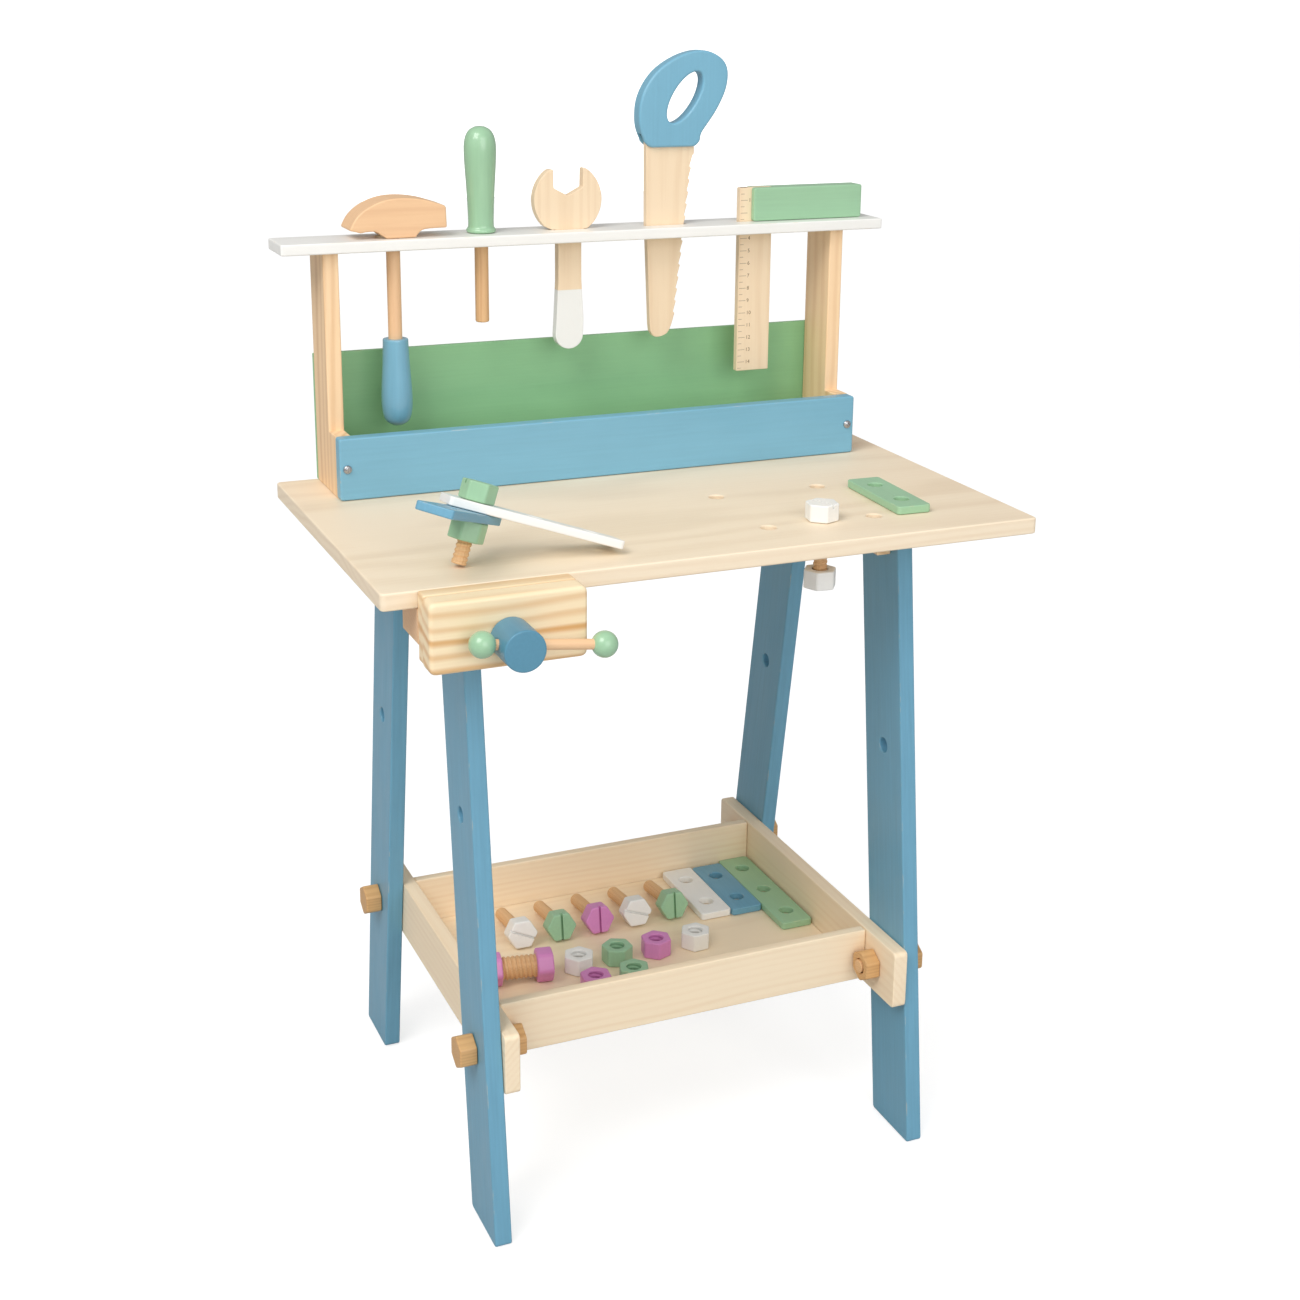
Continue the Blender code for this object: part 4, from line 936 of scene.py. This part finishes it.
for side, way in (("left", -1), ("right", 1)):
    place = placing((VISE_X + way * ROD_SPREAD, JAW_BACK, VISE_Z), X_AXIS, Z_AXIS)
    rod = turned(dowel_profile(-0.060, 0.0100, ROD_RADIUS), 32)
    make_piece(f"vise_guide_rod_{side}_wood", [rod], place, "beech", "vise_jaw",
               f"vise_guide_rod_{side}", "c")
print("jaws made, jaw back at", round(JAW_BACK, 4))

# %% Spindle, knob, bar and balls
VISE_LINE = placing((VISE_X, JAW_BACK, VISE_Z), X_AXIS, Z_AXIS)
KNOB_LOW, KNOB_HIGH = JAW_THICK + GAP, JAW_BACK - float(node_box("vise_knob")[0][1])
BAR_TILT, BAR_RADIUS, BALL_RADIUS = math.radians(7.2), 0.0035, 0.0088
BAR_WAY = np.array([math.cos(BAR_TILT), 0.0, -math.sin(BAR_TILT)])
BAR_CENTRE = carry([(0, 0, (KNOB_LOW + KNOB_HIGH) / 2)], VISE_LINE)[0]
BAR_LINE = placing(BAR_CENTRE, Y_AXIS, np.cross(BAR_WAY, Y_AXIS))
TAIL = -0.0646                     # the spindle's inner end
SPINDLE_GROOVE, SPINDLE_PITCH = 0.0010, 0.0040
spindle = turned(dowel_profile(TAIL, KNOB_LOW + 0.008, SPINDLE_RADIUS, rows=150), 48,
                 helix(SPINDLE_GROOVE, SPINDLE_PITCH, TAIL + 0.001, -0.002))
make_piece("vise_spindle_wood", [spindle], VISE_LINE, "beech", "vise_screw", "vise_spindle", "c")
knob = turned(dowel_profile(KNOB_LOW, KNOB_HIGH, 0.0140, 0.0011), 72)
cross_hole = turned(dowel_profile(-0.03, 0.03, BAR_RADIUS + GAP), 32)
make_piece("vise_knob_wood", [knob], VISE_LINE, "knob blue", "vise_screw", "vise_knob", "c",
           [(cross_hole, BAR_LINE)])
NEAR, FAR = -0.0237, 0.0589        # ball centres along the bar, from the knob's axis
bar = turned(dowel_profile(NEAR - 0.004, FAR + 0.004, BAR_RADIUS), 32)
make_piece("vise_bar_wood", [bar], BAR_LINE, "head beech", "vise_handle", "vise_bar", "c")
for side, spot in (("left", NEAR), ("right", FAR)):
    u = np.linspace(0, np.pi, 25)
    ball = np.stack([spot - BALL_RADIUS * np.cos(u), BALL_RADIUS * np.sin(u)], 1)
    make_piece(f"vise_ball_{side}_wood", [turned(ball, 48)], BAR_LINE, "handle green", "vise_handle",
               f"vise_ball_{side}", "c")
print("vise made, bar centre", np.round(BAR_CENTRE, 4))

# %% [markdown]
# ## The hanging tools
# Every tool hangs in the shelf by its head, collar or handle. Flat tools are outlines in the plane of
# the rack; handles and dowels are turned. All of them are drawn about the point where they rest on the
# shelf.

# %% Hammer
REST = SHELF_TOP + GAP


def hanging(tool):
    """The tool's flat frame: x across the rack, y up, thickness towards the front."""
    return placing((TOOL_X[tool], TOOL_Y, REST), X_AXIS, Z_AXIS)


def upright(tool):
    """The tool's turning frame: height is up."""
    return placing((TOOL_X[tool], TOOL_Y, REST), X_AXIS, Y_AXIS)


neck = spline([(0.0147, 0.0), (0.0170, 0.0030), (0.0195, 0.0051), (0.0230, 0.0062), (0.0310, 0.0066),
               (0.0393, 0.0067)], 4)
crown = spline([(0.0386, 0.0240), (0.0250, 0.0283), (0.0120, 0.0305), (0.0, 0.0308), (-0.0105, 0.0293),
                (-0.0200, 0.0258), (-0.0275, 0.0213), (-0.0335, 0.0153), (-0.0375, 0.0083)], 5)
claw = spline([(-0.0370, 0.0069), (-0.0330, 0.0060), (-0.0290, 0.0049), (-0.0255, 0.0055),
               (-0.0200, 0.0058), (-0.0165, 0.0052), (-0.0125, 0.0026), (-0.0085, 0.0)], 4)
FACE = [(0.0402, 0.0076), (0.0397, 0.0225)]
HEAD_SCALE, HEAD_HALF = 0.94, 0.014
hammer_outline = HEAD_SCALE * np.concatenate([neck, FACE, crown, claw])
make_piece("hammer_head_wood", [plate(hammer_outline, -HEAD_HALF, HEAD_HALF, 0.0012, steps=4)],
           hanging("hammer"), "head beech", "hammer", "hammer_head")
make_piece("hammer_shaft_wood", [turned(dowel_profile(-0.0900, 0.0147, SHANK_RADIUS), 40)],
           upright("hammer"), "head beech", "hammer", "hammer_shaft", "c")
grip = spline([(-0.1426, 0.0040), (-0.1400, 0.0080), (-0.1360, 0.0103), (-0.1300, 0.0114), (-0.1230, 0.0117),
               (-0.1130, 0.0114), (-0.0960, 0.0103), (-0.0830, 0.0097), (-0.0775, 0.0095), (-0.0767, 0.0089),
               (-0.0765, 0.0080)], 5)
grip = np.concatenate([[(-0.1432, 0.0)], grip, [(-0.0765, 0.0)]])
make_piece("hammer_grip_wood", [turned(grip, 64)], upright("hammer"), "grip blue", "hammer",
           "hammer_grip", "c")
print("hammer outline has", len(hammer_outline), "points")

# %% Screwdriver
handle = spline([(0.0, 0.0100), (0.0006, 0.0109), (0.0016, 0.0112), (0.0028, 0.0108), (0.0040, 0.0099),
                 (0.0070, 0.0096), (0.0180, 0.0099), (0.0340, 0.0107), (0.0480, 0.0116), (0.0600, 0.0121),
                 (0.0670, 0.0117), (0.0725, 0.0101), (0.0760, 0.0074), (0.0780, 0.0038)], 5)
handle = np.concatenate([[(0.0, 0.0)], handle, [(0.0785, 0.0)]])
make_piece("screwdriver_handle_wood", [turned(handle, 64)], upright("screwdriver"), "handle green",
           "screwdriver", "screwdriver_handle", "c")
make_piece("screwdriver_shaft_wood", [turned(dowel_profile(-0.0680, 0.0150, SHANK_RADIUS, 0.0012), 40)],
           upright("screwdriver"), "beech", "screwdriver", "screwdriver_shaft", "c")
print("screwdriver handle has", len(handle), "rings")

# %% Wrench
CENTRE, REACH = (-0.0010, 0.0222), 0.0274              # the round of the wrench's head
wrench_outline = np.concatenate([
    arc((-0.0002, -0.0815), 0.0114, 184, 356, 14),
    [(0.0116, -0.0700), (0.0098, -0.0400), (0.0098, -0.0100), (0.0115, -0.0090), (0.0115, -GAP),
     (0.0144, -GAP)],
    arc(CENTRE, REACH, -46, 59, 14),
    [(0.0112, 0.0455), (0.0109, 0.0312), (-0.0010, 0.0250), (-0.0127, 0.0312), (-0.0129, 0.0452)],
    arc(CENTRE, REACH, 124, 226, 14),
    [(-0.0140, -GAP), (-0.0113, -GAP), (-0.0113, -0.0090), (-0.0092, -0.0100), (-0.0092, -0.0400),
     (-0.0108, -0.0700)]])
make_piece("wrench_wood", [plate(round_corners(wrench_outline, 0.0012, 3), -0.0040, 0.0040, 0.0005)],
           hanging("wrench"), "dipped wood", "wrench", "wrench", "b")
print("wrench outline has", len(wrench_outline), "corners")

# %% Saw
HEEL, TOE, TEETH = 0.0592, -0.0790, 14
TOE_WIDTH, HEEL_WIDTH = 0.0072, 0.0225
PITCH = (HEEL - 0.0060 - TOE) / TEETH
foot = TOE + np.arange(TEETH) * PITCH
width = TOE_WIDTH + (HEEL_WIDTH - TOE_WIDTH) * (foot - TOE) / (HEEL - TOE)
roots = np.stack([width - 0.0016, foot + 0.0004], 1)
tips = np.stack([width + 0.0009, foot + PITCH - 0.0004], 1)
teeth = np.stack([roots, tips], 1).reshape(-1, 2)
blade = np.concatenate([
    [(-0.0174, HEEL), (-0.0168, 0.0), (-0.0162, -0.0110), (-0.0132, -0.0780)],
    spline([(-0.0124, -0.0840), (-0.0095, -0.0878), (-0.0050, -0.0884), (0.0010, -0.0865),
            (0.0038, -0.0830)], 5),
    teeth, [(0.0229, HEEL - 0.0055), (0.0229, HEEL), (0.0200, HEEL + 0.0105), (-0.0174, HEEL + 0.0105)]])
make_piece("saw_blade_wood", [plate(round_corners(blade, 0.0008, 3), -0.0030, 0.0030, 0.0004)],
           hanging("saw"), "tool wood", "saw", "saw_blade", "b")
ring = [(-0.0150, 0.0595), (0.0226, 0.0595), (0.0280, 0.0700), (0.0398, 0.0860), (0.0482, 0.1030),
        (0.0492, 0.1180), (0.0420, 0.1275), (0.0270, 0.1322), (0.0080, 0.1280), (-0.0110, 0.1160),
        (-0.0226, 0.0980), (-0.0246, 0.0790), (-0.0205, 0.0660)]
curve = round_corners(np.concatenate([ring[:2], spline(ring, 4, True)[6:50]]), 0.0026)
lean = math.radians(56)            # the finger hole is an oval that leans with the handle
u = np.linspace(0, 2 * np.pi, 56, endpoint=False)
oval = np.stack([0.0222 * np.cos(u), 0.0098 * np.sin(u)], 1)
oval = oval @ np.array([(math.cos(lean), math.sin(lean)), (-math.sin(lean), math.cos(lean))])
kerf = plate(rectangle((-0.0350, HEEL - 0.002), (0.0350, HEEL + 0.0108)), -0.0033, 0.0033, 0.0001)
make_piece("saw_handle_wood", [plate(curve, -0.0062, 0.0062, 0.0018, [oval + (0.0136, 0.0970)], 5)],
           hanging("saw"), "blue", "saw", "saw_handle", "b", [(kerf, hanging("saw"))])
print("saw with", TEETH, "teeth")

# %% [markdown]
# ## The try square
# A green stock is slotted for a thin ruler. The division lines are in the finish; the figures beside
# them are thin printed pieces, plain numbers for every centimetre.

# %% Square
square = hanging("square")
SQUARE_TOP, RULER_HALF = 0.0262, 0.0030
stock_kerf = plate(rectangle((-0.0300, -0.0100), (0.0147, 0.0400)), -0.0033, 0.0033, 0.0001)
stock = round_corners(rectangle((-0.0040, 0.0), (0.0925, SQUARE_TOP)), 0.002)
make_piece("square_stock_wood", [plate(stock, -0.0080, 0.0080)], square, "green", "try_square",
           "square_stock", "a", [(stock_kerf, square)])
ruler = round_corners(rectangle((-0.0141, -0.1210), (0.0144, SQUARE_TOP)), 0.0008)
make_piece("square_ruler_wood", [plate(ruler, -RULER_HALF, RULER_HALF, 0.0005)], square, "ruled wood",
           "try_square", "square_ruler", "b")
ink, ink_tree, ink_shader, ink_relief = start_finish("printed figures", 0.1)
ink_noise = stretched_noise(ink_tree, own(ink_tree, "grain"), (900, 900, 900), 2)
ink_tree.links.new(blend_colours(ink_tree, ink_noise, srgb(112, 84, 54), srgb(150, 120, 84)),
                   ink_shader.inputs["Base Color"])
ink_shader.inputs["Roughness"].default_value = 0.55
FINISHES["print"] = (ink, "pale_wood")


def figure_shell(text, x, y, size=0.0042):
    """The outline of a plain number as a thin solid, laid on the ruler's front face."""
    curve = bpy.data.curves.new("figure", "FONT")
    curve.body, curve.size, curve.extrude = text, size, 0.00004
    curve.align_x, curve.align_y, curve.resolution_u = "LEFT", "CENTER", 3
    holder = bpy.data.objects.new("figure", curve)
    bpy.context.scene.collection.objects.link(holder)
    mesh = bpy.data.meshes.new_from_object(holder.evaluated_get(bpy.context.evaluated_depsgraph_get()))
    points = np.empty(len(mesh.vertices) * 3)
    mesh.vertices.foreach_get("co", points)
    points = points.reshape(-1, 3) + (x, y, RULER_HALF)
    faces = [list(face.vertices) for face in mesh.polygons]
    bpy.data.objects.remove(holder, do_unlink=True)
    return points, faces, np.zeros((len(points), 3))


AT_SHELF = (2, 3)                  # left out, at and just above the shelf
figures = [figure_shell(str(k), -0.0065, SQUARE_TOP - 0.010 * k)
           for k in range(1, 15) if k not in AT_SHELF]
make_piece("square_ruler_figures", figures, square, "print", "try_square", None, "b")
print("ruler with", len(figures), "figures")

# %% [markdown]
# ## Strips, bolts and nuts to play with
# A construction strip is a flat board with round holes at an even pitch. The white bolt goes through the
# tabletop and has its nut below. The green bolt clamps a white and a blue strip; it stands on its own
# end and on the far end of the white strip, so everything on it leans by about twenty degrees.


# %% On the table
def strip(node, finish, holes, place):
    """A strip along its own x, with its first hole at the frame's origin and its underside at height 0."""
    start = -STRIP_PITCH / 2
    sides = rectangle((start, -STRIP_WIDTH / 2), (start + holes * STRIP_PITCH, STRIP_WIDTH / 2))
    openings = [circle((k * STRIP_PITCH, 0), HOLE_RADIUS) for k in range(holes)]
    shell = plate(round_corners(sides, 0.0030, 5), 0, STRIP_THICK, 0.0009, openings)
    make_piece(node + "_wood", [shell], place, finish, node, node)


def spun(origin, degrees):
    """An upright frame turned about the vertical."""
    u = math.radians(degrees)
    return placing(origin, (math.cos(u), math.sin(u), 0), (-math.sin(u), math.cos(u), 0))


bolt_x, bolt_y = PEG_HOLES[-1][0] - HALF_WIDTH, TABLE_FRONT + PEG_HOLES[-1][1]
TABLE_NUT_LOW = 0.4495             # height of the nut's underside
bolt("table_bolt", spun((bolt_x, bolt_y, TABLE_TOP + GAP - SHANK_LENGTH), 20), "white", "table_bolt",
     "table_bolt", slot_turn=90)
nut("table_nut", spun((bolt_x, bolt_y, TABLE_NUT_LOW), -6), "white", "table_nut", "table_nut")
strip("table_strip", "green", 2, spun((0.4118 - HALF_WIDTH, TABLE_FRONT + 0.0620, TABLE_TOP + GAP), 87.8))
print("table bolt, nut and strip made")

# %% The leaning construction
LEAN, TOWARDS = math.radians(20.6), math.radians(19.3)
LEAN_AXIS = np.array([math.sin(LEAN) * math.cos(TOWARDS), math.sin(LEAN) * math.sin(TOWARDS),
                      math.cos(LEAN)])
LEAN_TIP = np.array([0.0634 - HALF_WIDTH, TABLE_FRONT + 0.0378,
                     TABLE_TOP + GAP + SHANK_RADIUS * math.sin(LEAN)])
turn_to = Vector(LEAN_AXIS).to_track_quat("Z", "Y").to_matrix()
LEAN_LINE = placing(LEAN_TIP, turn_to.col[0], turn_to.col[1])
bolt("demo_bolt", LEAN_LINE, "green", "demo_bolt", "demo_bolt", turn=-12, slot_turn=78)
level = SHANK_LENGTH - GAP
for node, finish, holes, way in (("demo_white_strip", "white", 3, (0.94, -0.07, -0.32)),
                                 ("demo_blue_strip", "deep blue", 2, (-0.63, -0.72, 0.30))):
    level -= STRIP_THICK
    along = np.array(way) - LEAN_AXIS * np.dot(way, LEAN_AXIS)
    strip(node, finish, holes, placing(LEAN_TIP + LEAN_AXIS * level, along, np.cross(LEAN_AXIS, along)))
    level -= GAP
nut("demo_nut", LEAN_LINE, "green", "demo_nut", "demo_nut", level - NUT_HEIGHT)
print("construction leans", round(math.degrees(LEAN), 1), "degrees")

# %% In the tray: strips
TRAY_REST = TRAY_FLOOR + GAP
TRAY_STRIPS = {"white": ("white", 2, 0.3260, 0.2040), "blue": ("deep blue", 2, 0.3533, 0.2020),
               "green": ("green", 3, 0.3806, 0.1640)}


def in_tray(x, y, degrees):
    """An upright frame on the tray's floor, x and y from the tabletop's front left corner."""
    return spun((x - HALF_WIDTH, TABLE_FRONT + y, TRAY_REST), degrees)


for colour, (finish, holes, x, y) in TRAY_STRIPS.items():
    strip(f"tray_strip_{colour}", finish, holes, in_tray(x, y, 90))
print("tray strips made")

# %% In the tray: bolts and nuts
DROOP = math.asin((HEX_FLATS / 2 - SHANK_RADIUS) / SHANK_LENGTH)
HEAD_ROW = 0.1935                  # the heads' front, back from the tabletop's front


def lying_bolt(name, colour, x, body="bench", node=None, slot_turn=90.0):
    """A bolt on the floor of the tray, head to the front, resting on a flat and on the shank's end."""
    reach = (SHANK_LENGTH + HEAD_HEIGHT) * math.cos(DROOP)
    start = (x - HALF_WIDTH, TABLE_FRONT + HEAD_ROW + reach, TRAY_REST + SHANK_RADIUS * math.cos(DROOP))
    away = np.array([0, -math.cos(DROOP), math.sin(DROOP)])
    place = placing(start, X_AXIS, np.cross(away, X_AXIS))
    bolt(name, place, colour, body, node, slot_turn=slot_turn)


lying_bolt("tray_loose_bolt_green", "green", 0.1932, "tray_bolt_green", "tray_loose_bolt_green")
lying_bolt("tray_loose_bolt_pink", "pink", 0.2262, "tray_bolt_pink", "tray_loose_bolt_pink")
lying_bolt("tray_white_bolt_left", "white", 0.1600, slot_turn=155)
lying_bolt("tray_white_bolt_middle", "white", 0.2595, slot_turn=160)
lying_bolt("tray_green_bolt_right", "green", 0.2925)
nut("tray_loose_nut_pink", in_tray(0.2560, 0.1478, 20), "pink", "tray_nut_pink", "tray_loose_nut_pink")
TRAY_NUTS = [("left", "white", 0.1895, 0.1465, 8), ("middle", "green", 0.2225, 0.1480, 35),
             ("right", "white", 0.2905, 0.1480, 4), ("front", "pink", 0.1900, 0.1115, 24),
             ("near", "green", 0.2220, 0.1120, 12)]
for name, colour, x, y, turn in TRAY_NUTS:
    nut(f"tray_{colour}_nut_{name}", in_tray(x, y, turn), colour, "bench")
print("tray bolts and nuts made")

# %% In the tray: the stout bolt
STOUT_RADIUS, STOUT_FLATS = 0.0090, 0.0240
STOUT_GROOVE, STOUT_PITCH = 0.0011, 0.0036
u = math.radians(-10)
away = np.array([math.cos(u), math.sin(u), 0.0])
start = (0.1087 - HALF_WIDTH, TABLE_FRONT + 0.1530, TRAY_REST + STOUT_FLATS / 2)
place = placing(start, np.cross(Z_AXIS, away), Z_AXIS)
rod = turned(dowel_profile(0, 0.046, STOUT_RADIUS, rows=130), 56,
             helix(STOUT_GROOVE, STOUT_PITCH, 0.001, 0.045))
make_piece("tray_stout_shank", [rod], place, "beech", "bench", None, "c")
for part, low, high in (("head", 0.045, 0.058), ("nut", 0.006, 0.018)):
    shell = plate(hexagon(STOUT_FLATS, 0, 0.003), low, high, 0.0014)
    make_piece(f"tray_stout_{part}", [shell], place, "pink", "bench", None, "c")
print("stout bolt made")

# %% [markdown]
# ## Floor, light and camera
# The bench stands on a white floor in soft studio light: a large lamp high on the left, a weaker one in
# front, and an even pale surrounding. The floor and the backdrop glow a little, so that they are white
# without stronger lamps; light linking keeps that glow off the bench. The camera looks down a little
# from the front left.

# %% Floor and backdrop
def sheet(name, corners, emission):
    """One white rectangle of the studio, whose glow lights only the studio itself."""
    mesh = bpy.data.meshes.new(name)
    mesh.from_pydata(corners, [], [(0, 1, 2, 3)])
    made = bpy.data.objects.new(name, mesh)
    bpy.context.scene.collection.objects.link(made)
    paper = bpy.data.materials.new(name + " paper")
    paper.use_nodes = True
    shader = paper.node_tree.nodes["Principled BSDF"]
    shader.inputs["Base Color"].default_value = srgb(182, 182, 182)
    shader.inputs["Roughness"].default_value = 0.95
    shader.inputs["Specular IOR Level"].default_value = 0.0
    shader.inputs["Emission Color"].default_value = (1, 1, 1, 1)
    shader.inputs["Emission Strength"].default_value = emission
    mesh.materials.append(paper)
    STUDIO.objects.link(made)
    made.light_linking.receiver_collection = STUDIO


FAR, WIDE, TALL = 6.0, 14.0, 9.0
STUDIO = bpy.data.collections.new("studio")
sheet("floor", [(-WIDE, -WIDE, 0), (WIDE, -WIDE, 0), (WIDE, FAR, 0), (-WIDE, FAR, 0)], 0.62)
sheet("backdrop", [(-WIDE, FAR, 0), (WIDE, FAR, 0), (WIDE, FAR, TALL), (-WIDE, FAR, TALL)], 0.95)
print("floor and backdrop laid")


# %% Light
def lamp(name, place, target, size, power, colour=(1, 1, 1)):
    """A square area lamp that looks at a target."""
    data = bpy.data.lights.new(name, "AREA")
    data.shape, data.size, data.energy, data.color = "SQUARE", size, power, colour
    made = bpy.data.objects.new(name, data)
    aim = (Vector(target) - Vector(place)).to_track_quat("-Z", "Y").to_matrix().to_4x4()
    made.matrix_world = Matrix.Translation(place) @ aim
    bpy.context.scene.collection.objects.link(made)


lamp("key", (-1.7, -1.1, 2.7), (0, 0, 0.4), 1.7, 54, (1.0, 0.99, 0.975))
lamp("front", (0.2, -2.8, 1.5), (0, 0, 0.4), 2.0, 30, (0.98, 0.99, 1.0))
world = bpy.data.worlds.new("studio")
world.use_nodes = True
sky = world.node_tree.nodes["Background"]
sky.inputs["Color"].default_value = (1.0, 1.0, 1.0, 1.0)
sky.inputs["Strength"].default_value = 0.50
bpy.context.scene.world = world
bpy.context.scene.view_settings.view_transform = "Standard"
print("lamps and surroundings ready")

# %% Camera
yaw, pitch, roll = math.radians(23.702), math.radians(16.291), math.radians(0.711)
ahead = np.array([math.sin(yaw) * math.cos(pitch), math.cos(yaw) * math.cos(pitch), -math.sin(pitch)])
right = np.array([math.cos(yaw), -math.sin(yaw), 0.0])
up = np.cross(right, ahead)
right, up = right * math.cos(roll) + up * math.sin(roll), up * math.cos(roll) - right * math.sin(roll)
lens = bpy.data.cameras.new("camera")
lens.lens, lens.sensor_width = 53.682, 36.0
lens.shift_x, lens.shift_y = -0.01335, -0.0922
camera = bpy.data.objects.new("camera", lens)
camera.matrix_world = Matrix([[*column] for column in zip(right, up, -ahead)]).to_4x4()
camera.matrix_world.translation = Vector((-0.3002 - HALF_WIDTH, -1.1314 + TABLE_FRONT, 0.8827))
bpy.context.scene.collection.objects.link(camera)
bpy.context.scene.camera = camera
print("camera at", np.round(camera.matrix_world.translation, 3))
